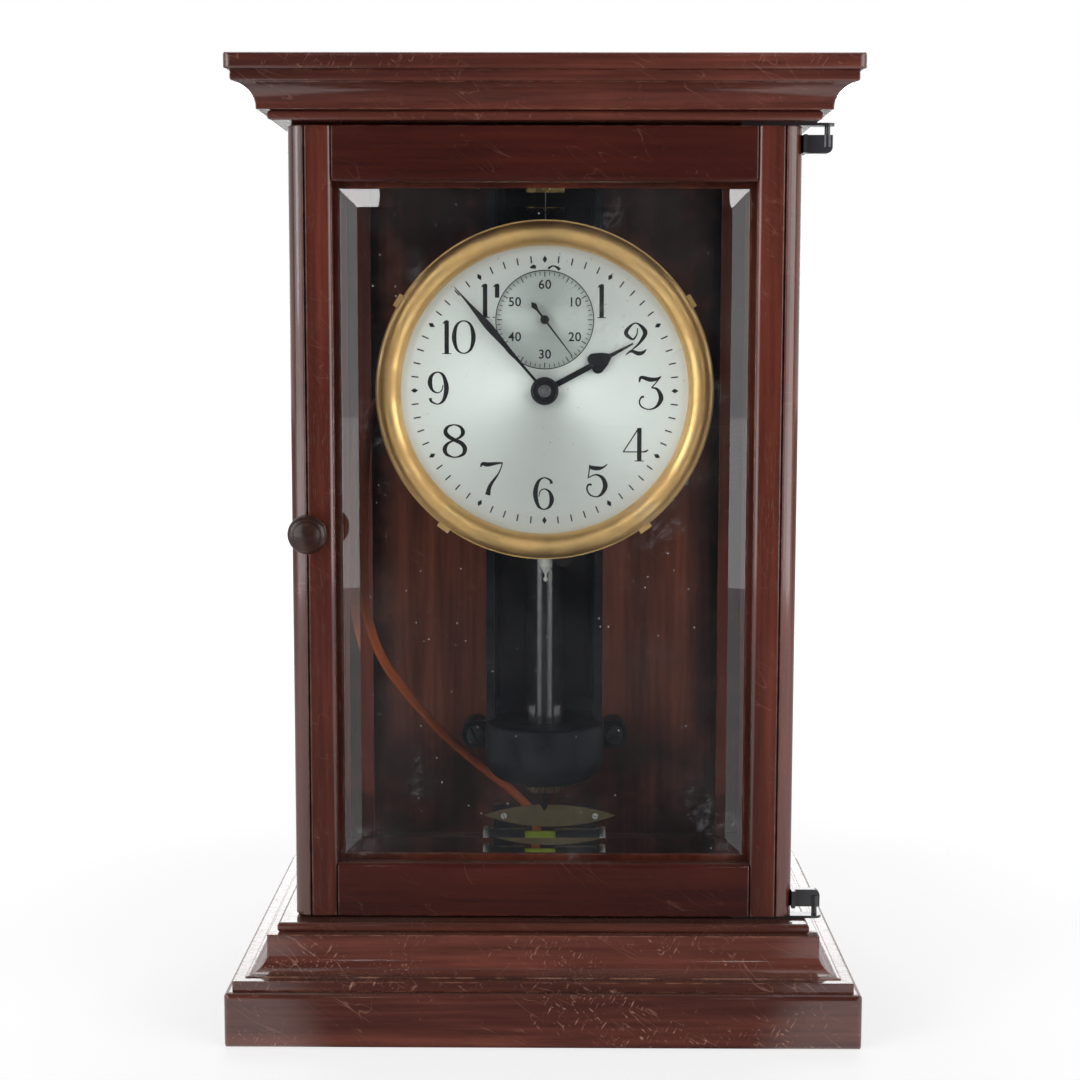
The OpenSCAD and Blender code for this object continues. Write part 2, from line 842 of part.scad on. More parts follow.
// Outline of a movement plate
module plate_outline() {
    r = 8;
    translate([0, (mplate_up - mplate_down) / 2]) rounded(2 * mplate_w, mplate_up + mplate_down, r);
}

// Places of the plate pillars, from the dial's centre
pillar_at = [for (x = [-1, 1], z = [mplate_up - 7, -mplate_down + 7]) [x * (mplate_w - 6), z]];

module front_plate() {
    color("#c8a24a") {
        difference() {
            flat_y(0, front_plate_y + mplate_t, dial_z, mplate_t) plate_outline();
            arbor_holes(front_plate_y + mplate_t);
        }
        rod_y(-motion_d, front_plate_y, dial_z, arbor_r, motion_gap - 0.6);
    }
}

// The back plate carries the click's stud with its collar
module back_plate() {
    color("#c8a24a") {
        difference() {
            flat_y(0, train_y, dial_z, mplate_t) plate_outline();
            arbor_holes(train_y);
        }
        rod_y(click_x, train_y + 1.4, seconds_z + click_z, 1.8, 1.4 + eps);
        rod_y(click_x, count_y + 0.5, seconds_z + click_z, stud_r, count_y + 0.5 - train_y);
    }
}

// Holes for the three arbors, through a plate whose back is at y
module arbor_holes(y) {
    for (p = [[0, dial_z], [0, seconds_z], [inter_x, inter_z]]) {
        rod_y(p[0], y + 1, p[1], arbor_r + run_gap, mplate_t + 2);
    }
}

module plate_pillars() {
    color("goldenrod") for (p = pillar_at) {
        rod_y(p.x, back_plate_y, dial_z + p.y, pillar_r, pillar_l);
        rod_y(p.x, front_plate_y, dial_z + p.y, pillar_r + 0.6, motion_gap);
    }
}

module dial_plate() {
    color("#d8d6cc") difference() {
        rod_y(0, dial_y + dial_t, dial_z, bezel_r - 1.6, dial_t);
        rod_y(0, dial_y + 3, dial_z, 3.8, 6);
        rod_y(0, dial_y + 3, seconds_z, seconds_r, 6);
    }
}

module seconds_dial() {
    color("#bdbcb4") difference() {
        rod_y(0, dial_y + dial_t + 1, seconds_z, seconds_r + 1.5, 1);
        rod_y(0, dial_y + 5, seconds_z, arbor_r + 0.5, 10);
    }
}

// Bezel: a rounded ring with a fine lip outside
lip = 0.8;
lip_t = 2;
module bezel() {
    w = bezel_r - dial_r;
    r = (w - lip) / 2;
    color("#c89534") translate([0, dial_y, dial_z]) rotate([90, 0, 0]) rotate_extrude($fn = 128) {
        difference() {
            union() {
                translate([dial_r, 0]) square([w - lip, bezel_t - r]);
                translate([dial_r + r, bezel_t - r]) circle(r = r, $fn = round_fn);
                translate([bezel_r - 1.8, 0]) square([1.8, lip_t]);
            }
            translate([0, -bezel_t]) square([bezel_r + 1, bezel_t]);
        }
    }
}

// Clips that hold the bezel's lip to the dial plate
clip_angles = [31.5, 148.5, 233.6, 306.4];
clip_w = 6;
clip_t = 1.1;
clip_in = 3.4;
module bezel_clips() {
    color("#c89534") for (a = clip_angles) {
        translate([0, dial_y, dial_z]) rotate([90, 0, 0]) rotate(a) {
            h = clip_w / 2;
            back = -dial_t - clip_t;
            block([bezel_r + seat, -h, back], [bezel_r + 1.7, h, lip_t + clip_t]);
            block([bezel_r - lip + seat, -h, lip_t + seat], [bezel_r + 1, h, lip_t + clip_t]);
            block([bezel_r - clip_in, -h, back], [bezel_r + 1, h, -dial_t]);
        }
    }
}

module suspension_block() {
    y0 = pend_y - 9;
    color("goldenrod") difference() {
        union() {
            block([-9, y0, pivot_z - 3.4], [9, web_front, pivot_z + 6]);
            for (x = [-4.7, 4.7]) rod_y(x, y0, pivot_z + 3, 1.7, 0.9);
            rod_y(3, y0, pivot_z - 1, 1.2, 0.8);
        }
        rod_y(0, web_front - 6, pivot_z, 1 + run_gap, web_front - y0);
        block([-0.7, pend_y - 4.6, pivot_z - 5], [0.7, pend_y + 4.6, pivot_z + 2]);
    }
}

module suspension_spring() {
    z1 = tube_top + 8;
    color("silver") {
        rod_y(0, pend_y + 8, pivot_z, 1, 16);
        block([-0.2, pend_y - 4, z1 - 1], [0.2, pend_y + 4, pivot_z]);
    }
    color("goldenrod") block([-3, pend_y - 5.5, tube_top + 4], [3, pend_y + 5.5, z1]);
}

module pendulum_tube() {
    rod_low = z_floor + level_foot + 2 * level_r + 12;
    color("#202226") {
        difference() {
            rod_z(0, pend_y, bob_z + 6, tube_r, tube_top - bob_z - 6);
            rod_z(0, pend_y, bob_z + 9, tube_r - 1, tube_top - bob_z - 12);
        }
    }
    color("goldenrod") translate([0, pend_y, tube_top]) rotate_extrude($fn = round_fn) {
        square([tube_r, 1.5]);
        square([tube_r - 3, 4]);
    }
    color("silver") {
        rod_z(0, pend_y, rod_low, 2, bob_z + 6 - rod_low);
        translate([0, pend_y, rod_low - 3]) cylinder(h = 3, r1 = 0.4, r2 = 2, $fn = round_fn);
    }
    color("#c8a24a") {
        block([tube_r - 1, pend_y - 3, gravity_z - 3], [tube_r + 4, pend_y + 3, gravity_z - 1]);
        block([-3, pawl_y0 - 1, pawl_z - 2], [3, pend_y - tube_r + 1, pawl_z + 3]);
        block([-3, pawl_y0 - 1, pawl_z - 2], [pawl_x + 2.4, pawl_y0 + 1.4, pawl_z + 3]);
        rod_y(pawl_x, pawl_y0, pawl_z, stud_r, 3.4);
    }
}

module bob() {
    color("#1c1d20") translate([0, pend_y, bob_z]) rotate_extrude($fn = 96) difference() {
        union() {
            translate([0, 0]) square([bob_r - bob_round, bob_h]);
            translate([0, bob_round]) square([bob_r, bob_h - bob_round - 1.5]);
            translate([0, bob_h - 1.5]) square([bob_r - 1.5, 1.5]);
            translate([bob_r - bob_round, bob_round]) circle(r = bob_round, $fn = round_fn);
            translate([bob_r - 1.5, bob_h - 1.5]) circle(r = 1.5, $fn = round_fn);
        }
        translate([-1, 6 - 1.8]) square([tube_r + run_gap + 1, bob_h]);
        translate([-1, -1]) square([2 + run_gap + 1, bob_h]);
        translate([-40, -1]) square([40, bob_h + 9]);
    }
    color("#3c3e42") rod_y(0, pend_y - bob_r + 1.2, bob_top - 10, 2.6, 2);
}

module rating_nut() {
    z = bob_z - 0.3 - nut_h;
    n = 24;
    color("goldenrod") translate([0, pend_y, z]) difference() {
        cylinder(h = nut_h, r = nut_r, $fn = round_fn);
        translate([0, 0, -1]) cylinder(h = nut_h + 2, r = 2 + run_gap, $fn = round_fn);
        for (i = [0 : n - 1]) rotate(i * 360 / n) translate([nut_r + 0.3, 0, -1]) {
            cylinder(h = nut_h + 2, r = 0.8, $fn = 16);
        }
    }
}

// Outline of a toothed wheel: straight flanks, flat tips and rounded-off roots, one tooth at angle 0
function tooth(i, n, m, share, add, ded) =
    let (a = i * 360 / n, h = 180 / n * share, r = m * n / 2)
    [for (q = [[r - ded, 1.25], [r, 1], [r + add * 0.6, 0.72], [r + add, 0.3]]) [q[0], a - h * q[1]],
     for (q = [[r + add, 0.3], [r + add * 0.6, 0.72], [r, 1], [r - ded, 1.25]]) [q[0], a + h * q[1]]];

module toothed(n, m, share, add, ded) {
    polygon([
        for (i = [0 : n - 1], p = tooth(i, n, m, share, add, ded)) [p[0] * cos(p[1]), p[0] * sin(p[1])]
    ]);
}

// Crossed-out wheel: teeth, rim, arms and hub
module wheel_outline(n, m, arms) {
    r = m * n / 2;
    rim = r - 2.6;
    difference() {
        toothed(n, m, 0.45, m * 0.9, m * 1.3);
        circle(r = rim, $fn = round_fn);
    }
    circle(r = 3.6, $fn = 48);
    for (i = [0 : arms - 1]) rotate(i * 360 / arms + 20) translate([0, -0.8]) square([rim + 0.6, 1.6]);
}

module pinion_outline(n, m) {
    toothed(n, m, 0.34, m * 0.5, m * 1.25);
}

// Ratchet teeth of the count wheel, hooked clockwise
module ratchet_outline(n, r) {
    h = 1.1;
    difference() {
        polygon([for (i = [0 : n - 1]) for (q = [[r - h, 0.02], [r, 0.1], [r, 0.22], [r - h, 0.98]])
            [q[0] * cos((i + q[1]) * 360 / n), q[0] * sin((i + q[1]) * 360 / n)]]);
        circle(r = r - 3, $fn = round_fn);
    }
    circle(r = 3.4, $fn = 48);
    for (i = [0 : 3]) rotate(i * 90 + 45) translate([0, -0.8]) square([r - 2.5, 1.6]);
}

layer_a = front_plate_y + mplate_t + 1.5;
layer_b = back_plate_y - 2.5;
wheel_t = 1.5;
count_y = train_y + 3;

module count_wheel() {
    y0 = count_y + 1;
    color("#c8a24a") {
        flat_y(0, count_y, seconds_z, wheel_t) ratchet_outline(60, count_r);
        flat_y(0, layer_a + 3.2, seconds_z, 3.6) rotate(mesh_a) pinion_outline(pinion_n, train_m);
    }
    color("silver") rod_y(0, y0, seconds_z, arbor_r, y0 - front_plate_y + 0.5);
    color("silver") rod_y(0, front_plate_y, seconds_z, pivot_r, front_plate_y - hand_y + 0.1);
}

module intermediate_wheel() {
    color("#c8a24a") {
        flat_y(inter_x, layer_a + 2.4, inter_z, wheel_t) rotate(mesh_a + 180 + 180 / inter_n) {
            wheel_outline(inter_n, train_m, 4);
        }
        flat_y(inter_x, layer_b + 1, inter_z, 3.6) rotate(mesh_b) pinion_outline(pinion_n, train_m);
    }
    color("silver") rod_y(inter_x, train_y, inter_z, arbor_r, train_y - front_plate_y);
}

module centre_wheel() {
    color("#c8a24a") {
        flat_y(0, layer_b, dial_z, wheel_t) rotate(mesh_b + 180 + 180 / centre_n) {
            wheel_outline(centre_n, train_m, 5);
        }
        flat_y(0, front_plate_y - 0.2, dial_z, 1.5) pinion_cannon();
        rod_y(0, front_plate_y - 1, dial_z, 2.2, front_plate_y - 1 - (dial_y - 6));
    }
    color("silver") rod_y(0, train_y, dial_z, arbor_r, train_y - (dial_y - 6));
}

// Pinion of the minute arbor, in mesh with the minute wheel on its left
module pinion_cannon() {
    rotate(180) toothed(cannon_n, motion_m, 0.38, motion_m * 0.6, motion_m * 1.2);
}

module minute_wheel() {
    y0 = front_plate_y - 0.3;
    color("#c8a24a") difference() {
        union() {
            flat_y(-motion_d, y0, dial_z, 1.2) rotate(180 / mwheel_n) {
                toothed(mwheel_n, motion_m, 0.42, motion_m * 0.8, motion_m * 1.2);
            }
            flat_y(-motion_d, y0 - 1.1, dial_z, 3) {
                toothed(mpinion_n, hour_m, 0.36, hour_m * 0.6, hour_m * 1.2);
            }
        }
        rod_y(-motion_d, y0 + 1, dial_z, arbor_r + run_gap, 9);
    }
}

module hour_wheel() {
    y0 = front_plate_y - 2.2;
    pipe = y0 - (dial_y - 3.4);
    color("#c8a24a") difference() {
        union() {
            flat_y(0, y0, dial_z, 1.4) rotate(180 + 180 / hwheel_n) {
                toothed(hwheel_n, hour_m, 0.42, hour_m * 0.8, hour_m * 1.2);
            }
            rod_y(0, y0, dial_z, 3.3, pipe);
        }
        rod_y(0, y0 + 1, dial_z, 2.2 + run_gap, pipe + 9);
    }
}

// Angles of the hands from twelve, clockwise
minute_a = -41.4;
hour_a = 61.8;
second_a = 142.6;
hour_y = dial_y - 2;
minute_y = dial_y - 4.2;

// Each outline of a hand made solid by itself, so that they join into one body
module hand_at(z, y, a) {
    translate([0, y, z]) rotate([90, 0, 0]) for (i = [0 : $children - 1]) {
        linear_extrude(hand_t) rotate(-a) children(i);
    }
}

module minute_hand() {
    color("#101010") difference() {
        hand_at(dial_z, minute_y, minute_a) {
            circle(r = 6, $fn = round_fn);
            polygon([[-1.1, 0], [-1.5, minute_l * 0.3], [-2.5, minute_l * 0.62], [-1.2, minute_l * 0.84],
                     [-0.3, minute_l], [0.3, minute_l], [1.2, minute_l * 0.84], [2.5, minute_l * 0.62],
                     [1.5, minute_l * 0.3], [1.1, 0]]);
        }
        rod_y(0, minute_y + 1, dial_z, 2.2, 4);
    }
}

module hour_hand() {
    b = hour_l * 0.6;
    color("#101010") difference() {
        hand_at(dial_z, hour_y, hour_a) {
            circle(r = 6, $fn = round_fn);
            polygon([[-1.3, 0], [-1.3, b - 3], [1.3, b - 3], [1.3, 0]]);
            translate([-2.1, b - 1]) circle(r = 2.7, $fn = 32);
            translate([2.1, b - 1]) circle(r = 2.7, $fn = 32);
            polygon([[-4.6, b], [-3.2, b + 3.4], [-0.9, b + 6.6], [-0.4, hour_l], [0.4, hour_l],
                     [0.9, b + 6.6], [3.2, b + 3.4], [4.6, b]]);
        }
        rod_y(0, hour_y + 1, dial_z, 3.3, 4);
    }
}

module seconds_hand() {
    color("#101010") difference() {
        hand_at(seconds_z, hand_y + 0.6, second_a) {
            circle(r = 1.9, $fn = 32);
            polygon([[-0.45, 0], [-0.2, second_l], [0.2, second_l], [0.45, 0]]);
            polygon([[-0.4, 0], [-0.5, -5.5], [-1.4, -8], [0, -10], [1.4, -8], [0.5, -5.5], [0.4, 0]]);
        }
        rod_y(0, hand_y + 2, seconds_z, pivot_r, 5);
    }
}

// Gravity arm, armature and magnet stand to the right of the column
gravity_z = dial_z + 18;
arm_x = column_hw + 6;
mag_z = dial_z - 46;
coil_x = [column_hw + 12, column_hw + 32];
armature_z = mag_z + 38;
arm_up = 1.4;
link_x = arm_x + 11.5;
link_z = gravity_z + arm_up + 2.4;
ear_y = 7.2;
ear_t = 2.4;

// Yoke with its two cores, and the ears that carry the armature and the gravity arm
module magnet_yoke() {
    y = pend_y;
    color("#55585c") {
        block([column_hw, y - 9, mag_z], [coil_x[1] + 9, y + 9, mag_z + 4]);
        block([column_hw, y - 9, mag_z], [column_hw + 3, y + 9, armature_z + 9]);
        for (x = coil_x) rod_z(x, y, mag_z + 4 - eps, 3.2, 30.5);
    }
    color("#55585c") {
        for (s = [-1, 1]) difference() {
            block([column_hw + 2, y - ear_t / 2 + s * ear_y, armature_z - 4],
                  [column_hw + 9, y + ear_t / 2 + s * ear_y, gravity_z + 5]);
            rod_y(arm_x, y + 12, armature_z, 1 + run_gap, 24);
            rod_y(arm_x, y + 12, gravity_z + arm_up, 1 + run_gap, 24);
        }
    }
}

module magnet_coils() {
    color("#7c2a1c") for (x = coil_x) translate([x, pend_y, mag_z + 4.1]) rotate_extrude($fn = round_fn) {
        difference() {
            union() {
                square([8.2, 29]);
                square([9, 1.6]);
                translate([0, 27.4]) square([9, 1.6]);
            }
            translate([-9, -1]) square([9 + 3.2 + run_gap, 40]);
        }
    }
}

// Armature over the two cores, with a wire that hooks over the gravity arm's tail to lift the arm
module armature() {
    y = pend_y;
    color("#6a6d70") {
        block([arm_x - 1, y - 5.2, armature_z - 1.6], [coil_x[1] + 8, y + 5.2, armature_z + 1]);
        rod_y(arm_x, y + 5.2, armature_z, 2.2, 10.4);
    }
    color("silver") {
        rod_y(arm_x, y + 9, armature_z, 1, 18);
        rod_z(link_x, y + 3.6, armature_z, 0.6, link_z - armature_z + 0.6);
        rod_y(link_x, y + 4.2, link_z, 0.6, 8.4);
    }
}

// Gravity arm: its weighted inner end falls on the pendulum's ledge, its tail lies under the hook
module gravity_arm() {
    y = pend_y;
    z = gravity_z + arm_up;
    color("#c8a24a") {
        block([tube_r + 2.6, y - 2.2, z - 1], [link_x + 3, y + 2.2, z + 1]);
        rod_y(arm_x, y + 4, z, 2.6, 8);
        rod_z((tube_r + 6.5 + column_hw - column_wall) / 2, y, z, 2.6, 9);
    }
    color("silver") rod_y(arm_x, y + 9, z, 1, 18);
}

pawl_x = 15;
pawl_y0 = train_y + 4.4;
pawl_z = seconds_z + count_r + 3.4;

module gathering_pawl() {
    color("silver") difference() {
        union() {
            rod_y(pawl_x, pawl_y0 - 1.4, pawl_z, 1.7, 1.2);
            flat_y(0, pawl_y0 - 1.4, pawl_z, 1.2) {
                polygon([[pawl_x, -0.5], [pawl_x, 0.6], [-0.6, 0], [-1.4, -3], [-0.9, -3], [0.4, -1]]);
            }
        }
        rod_y(pawl_x, pawl_y0 + 3, pawl_z, stud_r + run_gap, 9);
    }
}

click_x = -17;
click_z = 9;
module backstop_click() {
    color("silver") difference() {
        union() {
            rod_y(click_x, count_y, seconds_z + click_z, 2, 1.4);
            flat_y(0, count_y, seconds_z, 1.2) polygon([[click_x, click_z - 0.7], [click_x, click_z + 0.9],
                [-9.6, count_r - 1.6], [-8.8, count_r - 2.6], [-10.2, count_r - 2.9]]);
        }
        rod_y(click_x, count_y + 3, seconds_z + click_z, stud_r + run_gap, 9);
    }
}

module beat_index() {
    z1 = plate_z0 - 14;
    y = back_plate_y - 3;
    color("white") translate([0.5, y, z1 - 18]) rotate_extrude($fn = round_fn) {
        translate([0, 3.4]) polygon([[0, 0], [0.5, 0], [3, 4], [3, 14], [2.4, 14.6], [0, 14.6]]);
        square([0.5, 4]);
        intersection() {
            translate([0, 1.1]) circle(r = 1.1, $fn = 32);
            square([2, 3]);
        }
    }
}

module terminal_block() {
    y = back_plate_y;
    z1 = plate_z0;
    color("#17181a") {
        block([-8, y - 6, z1 - 14], [14, y, z1 + 6]);
        rod_y(8.8, y - 6, z1 - 20, 4.2, 4);
        block([5, y - 6.5, z1 - 20], [12.6, y - 2, z1 - 13]);
        block([strip_end, y - 5.5, dial_z - 10], [-mplate_w + 2, y - seat, dial_z + 4]);
    }
}

// Tubular spirit level with two end rings, two feet and the two brackets of the beat plate
foot_x = 20;
vial_l = 23.8;
vial_r = 4;
vial_up = 1.2;
module level_body() {
    zc = z_floor + level_foot + level_r;
    color("#222427") difference() {
        union() {
            rod_x(-level_l / 2, pend_y, zc, level_r, level_l);
            for (s = [-1, 1]) {
                rod_x(s * (level_l / 2 - 3) - 1.5, pend_y, zc, level_r + 0.6, 3);
                translate([s * foot_x - 6, pend_y - 8, z_floor]) cube([12, 22, level_foot + 1.5]);
                translate([s * foot_x - 5, pend_y + 7, z_floor])
                    cube([10, 4, level_foot + 2 * level_r + beat_h - 1.2]);
            }
        }
        translate([-9.5, pend_y - level_r - 1, zc + 2.2]) cube([15, 2 * level_r + 2, level_r]);
        rod_x(-vial_l / 2 - seat - 2, pend_y, zc + vial_up, vial_r + seat, vial_l + 2 * seat);
    }
}

module level_vial() {
    zc = z_floor + level_foot + level_r + vial_up;
    color("#c6d82a") rod_x(-vial_l / 2 - 2, pend_y, zc, vial_r, vial_l);
}

module beat_plate() {
    zc = z_floor + level_foot + 2 * level_r + beat_h / 2 - 0.5;
    r = (beat_l * beat_l + beat_h * beat_h / 4) / beat_h;
    color("#b39a62") {
        flat_y(2.5, pend_y + 7, zc, 1.4) intersection() {
            translate([0, beat_h / 2 - r]) circle(r = r, $fn = 256);
            translate([0, r - beat_h / 2]) circle(r = r, $fn = 256);
        }
        for (x = [-20, 25]) rod_y(x, pend_y + 5.6, zc, 1.9, 1);
    }
}

// A tube swept along a list of points, as one closed polyhedron
function unit(v) = v / norm(v);
function heading(p, i) = unit(p[min(i + 1, len(p) - 1)] - p[max(i - 1, 0)]);
function frames(p, i, n) =
    i >= len(p) ? [] :
    let (t = heading(p, i), u = unit(n - (n * t) * t))
    concat([[t, u]], frames(p, i + 1, u));
function mid_route(p) = [for (i = [0 : len(p) - 2]) for (k = [0 : 1])
    let (a = p[max(i - 1, 0)], b = p[i], c = p[i + 1], d = p[min(i + 2, len(p) - 1)])
    k == 0 ? b : (9 * (b + c) - a - d) / 16];
module swept(route, r, sides) {
    p = concat(mid_route(route), [route[len(route) - 1]]);
    f = frames(p, 0, [0, 0, 1]);
    pts = [for (i = [0 : len(p) - 1]) for (k = [0 : sides - 1])
        let (a = k * 360 / sides, v = cross(f[i][0], f[i][1]))
        p[i] + r * (cos(a) * f[i][1] + sin(a) * v)];
    n = len(p);
    polyhedron(pts, concat(
        [[for (k = [0 : sides - 1]) sides - 1 - k]],
        [for (i = [0 : n - 2]) for (k = [0 : sides - 1]) let (m = (k + 1) % sides)
            each [[i * sides + k, i * sides + m, (i + 1) * sides + m],
                  [i * sides + k, (i + 1) * sides + m, (i + 1) * sides + k]]],
        [[for (k = [0 : sides - 1]) (n - 1) * sides + k]]));
}

module lead() {
    color("#b4521c") swept(lead_route, lead_d / 2, 8);
}

base_slab();
base_cove();
floor_board();
base_cover();
dry_battery();
corner_posts();
side_rails();
side_glass_left();
side_glass_right();
back_board();
top_board();
cornice_moulding();
cornice_cap();
hinge_plates();
strike_plate();
fixing_screws();
door_stile_left();
door_stile_right();
door_rail_top();
door_rail_bottom();
door_glass();
glazing_beads();
hinge_straps();
door_knob();
catch_barrel();
catch_bolt();
column();
front_plate();
back_plate();
plate_pillars();
dial_plate();
seconds_dial();
bezel();
bezel_clips();
suspension_block();
magnet_yoke();
magnet_coils();
beat_index();
terminal_block();
level_body();
level_vial();
beat_plate();
lead();
suspension_spring();
pendulum_tube();
bob();
rating_nut();
count_wheel();
seconds_hand();
intermediate_wheel();
centre_wheel();
minute_hand();
minute_wheel();
hour_wheel();
hour_hand();
armature();
gravity_arm();
gathering_pawl();
backstop_click();
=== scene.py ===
# %% [markdown]
# # Dressing a glazed mantel clock
# The clock is a mahogany case with a bevelled glass door, and behind the glass a battery-driven
# pendulum movement with a silvered dial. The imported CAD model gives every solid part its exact
# shape and place. This script adds what the CAD model leaves out: polish, grain, wear, ink on
# the dial, the woven lead and the small turned and slotted details. It works in metres, in the
# same frame as the CAD model, so nothing has to be fitted by eye.

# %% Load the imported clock
import math
import bpy
from mathutils import Matrix, Vector
from mathutils.geometry import delaunay_2d_cdt


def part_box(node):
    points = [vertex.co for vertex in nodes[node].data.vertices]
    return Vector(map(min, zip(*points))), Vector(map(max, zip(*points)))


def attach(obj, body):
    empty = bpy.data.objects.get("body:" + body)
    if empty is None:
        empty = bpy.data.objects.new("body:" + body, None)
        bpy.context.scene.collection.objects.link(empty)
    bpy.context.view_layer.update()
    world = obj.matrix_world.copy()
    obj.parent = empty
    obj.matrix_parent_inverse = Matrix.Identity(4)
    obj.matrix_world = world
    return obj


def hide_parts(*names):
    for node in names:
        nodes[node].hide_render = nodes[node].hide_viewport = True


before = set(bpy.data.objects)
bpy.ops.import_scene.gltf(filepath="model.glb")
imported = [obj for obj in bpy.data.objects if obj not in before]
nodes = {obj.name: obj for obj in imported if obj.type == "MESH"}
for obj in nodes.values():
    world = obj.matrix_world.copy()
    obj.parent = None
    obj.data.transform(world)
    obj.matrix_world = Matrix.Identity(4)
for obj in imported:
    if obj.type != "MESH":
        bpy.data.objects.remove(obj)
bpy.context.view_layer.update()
MM = 0.001

# %% [markdown]
# ## Camera
# The photograph was taken from a little above the middle of the dial, from about 0.9 m away, which
# shows the top of the base and the underside of the cornice. The place and turn below come from
# matching the corners of the case with the same corners in the CAD model. Building the camera's
# matrix from its own forward, right and up directions avoids guessing at Euler angles.

# %% Camera at the photograph's viewpoint
camera_spot = (0.00378, -0.89978, 0.30330)
lens_mm = 63.48
sensor_mm = 36
view_pitch = math.radians(6.031)
view_yaw = math.radians(0.383)
view_roll = math.radians(0.098)
forward = Vector((-math.sin(view_yaw) * math.cos(view_pitch),
                  math.cos(view_yaw) * math.cos(view_pitch), -math.sin(view_pitch)))
level_right = Vector((math.cos(view_yaw), math.sin(view_yaw), 0))
level_up = level_right.cross(forward)
right = math.cos(view_roll) * level_right + math.sin(view_roll) * level_up
up = math.cos(view_roll) * level_up - math.sin(view_roll) * level_right

bpy.ops.object.select_all(action="DESELECT")
bpy.ops.object.camera_add(location=camera_spot)
camera = bpy.context.object
camera.name = "photo_camera"
turn = Matrix((right, up, -forward)).transposed().to_4x4()
camera.matrix_world = Matrix.Translation(camera.location) @ turn
camera.data.sensor_width = sensor_mm
camera.data.lens = lens_mm
bpy.context.scene.camera = camera
bpy.context.scene.view_settings.view_transform = "Standard"
print("camera looks along", [round(v, 4) for v in forward])

# %% [markdown]
# ## Node helpers
# A material is a small graph. Writing each node out by hand takes many lines, so a few helpers
# place a node, join it to what feeds it and hand back the socket that the next node needs. They
# all work on the tree that lies on the bench, which is the one of the finish started last.

# %% Helpers for materials
bench = {"tree": None}


def put(kind, feeds=None, **settings):
    """Adds a shader node of this kind; feeds maps each input to a value or to another node's socket."""
    node = bench["tree"].nodes.new("ShaderNode" + kind)
    for name, value in settings.items():
        setattr(node, name, value)
    for socket, value in (feeds or {}).items():
        if isinstance(value, bpy.types.NodeSocket):
            bench["tree"].links.new(value, node.inputs[socket])
        else:
            node.inputs[socket].default_value = value
    return node


def start_finish(name, colour, roughness, metallic=0.0, coat=0.0, coat_roughness=0.1):
    material = bpy.data.materials.new(name)
    material.use_nodes = True
    bench["tree"] = material.node_tree
    shader = material.node_tree.nodes["Principled BSDF"]
    shader.inputs["Base Color"].default_value = (*colour, 1)
    shader.inputs["Roughness"].default_value = roughness
    shader.inputs["Metallic"].default_value = metallic
    shader.inputs["Coat Weight"].default_value = coat
    shader.inputs["Coat Roughness"].default_value = coat_roughness
    return material, shader


def join(source, shader, socket):
    bench["tree"].links.new(source, shader.inputs[socket])


def blend_shaders(share, first, second):
    """A share of the second shader over the first."""
    return put("MixShader", {0: share, 1: first.outputs[0], 2: second.outputs[0]})


def show(shader):
    """The surface shows this shader in place of the plain one."""
    join(shader.outputs[0], bench["tree"].nodes["Material Output"], "Surface")


def maths(operation, a, b=0.0, clamp=False):
    return put("Math", {0: a, 1: b}, operation=operation, use_clamp=clamp).outputs[0]


def times(a, b, clamp=False):
    return maths("MULTIPLY", a, b, clamp)


def plus(a, b, clamp=False):
    return maths("ADD", a, b, clamp)


def vector_maths(operation, a, b=(0, 0, 0)):
    return put("VectorMath", {0: a, 1: b}, operation=operation)


def split(vector):
    return put("SeparateXYZ", {0: vector}).outputs


def here():
    """The object's own coordinates, in metres."""
    return put("TexCoord").outputs["Object"]


def normal():
    return put("NewGeometry").outputs["Normal"]


def ramp(value, low, high):
    """0 below low, 1 above high, smooth between; low may be the larger."""
    node = put("MapRange", {"Value": value, "From Min": low, "From Max": high}, interpolation_type="SMOOTHSTEP")
    return node.outputs["Result"]


def rgb(r, g, b):
    return (r, g, b, 1)


def mix(share, a, b):
    """A share of b over a; a colour may be a socket or three numbers."""
    a, b = (rgb(*colour) if isinstance(colour, tuple) else colour for colour in (a, b))
    return put("Mix", {0: share, 6: a, 7: b}, data_type="RGBA").outputs[2]


def noise(place, scale, detail=2.0, rough=0.5):
    feeds = {"Vector": place, "Scale": scale, "Detail": detail, "Roughness": rough}
    return put("TexNoise", feeds).outputs["Fac"]


def millimetres(stretch=(1, 1, 1), turned=(0, 0, 0)):
    """Object coordinates in mm, turned and then divided by the stretch, so that a pattern runs long that way."""
    scale = [MM * s for s in stretch]
    node = put("Mapping", {"Vector": here(), "Scale": scale, "Rotation": turned}, vector_type="TEXTURE")
    return node.outputs["Vector"]


def relief(height, depth_mm, under=None):
    feeds = {"Height": height, "Strength": 1.0, "Distance": depth_mm * MM}
    if under:
        feeds["Normal"] = under
    return put("Bump", feeds).outputs["Normal"]


# %% [markdown]
# ## The studio
# The photograph has a pure white background, and the polished sides of the case mirror it, while
# the front faces mirror a dim room behind the camera. A world shader can do this without light
# spilling on the object: Light Path tells camera, glossy and transmission rays from the rest. The
# room is dim only in one direction of the world, towards the front, so other views look right too.
# The floor glows for the camera but keeps part of its real shading, and so the clock's shadow. In
# the polish and in the bevels of the door glass it stands for the room's floor: dim straight before
# the clock, bright beside it.

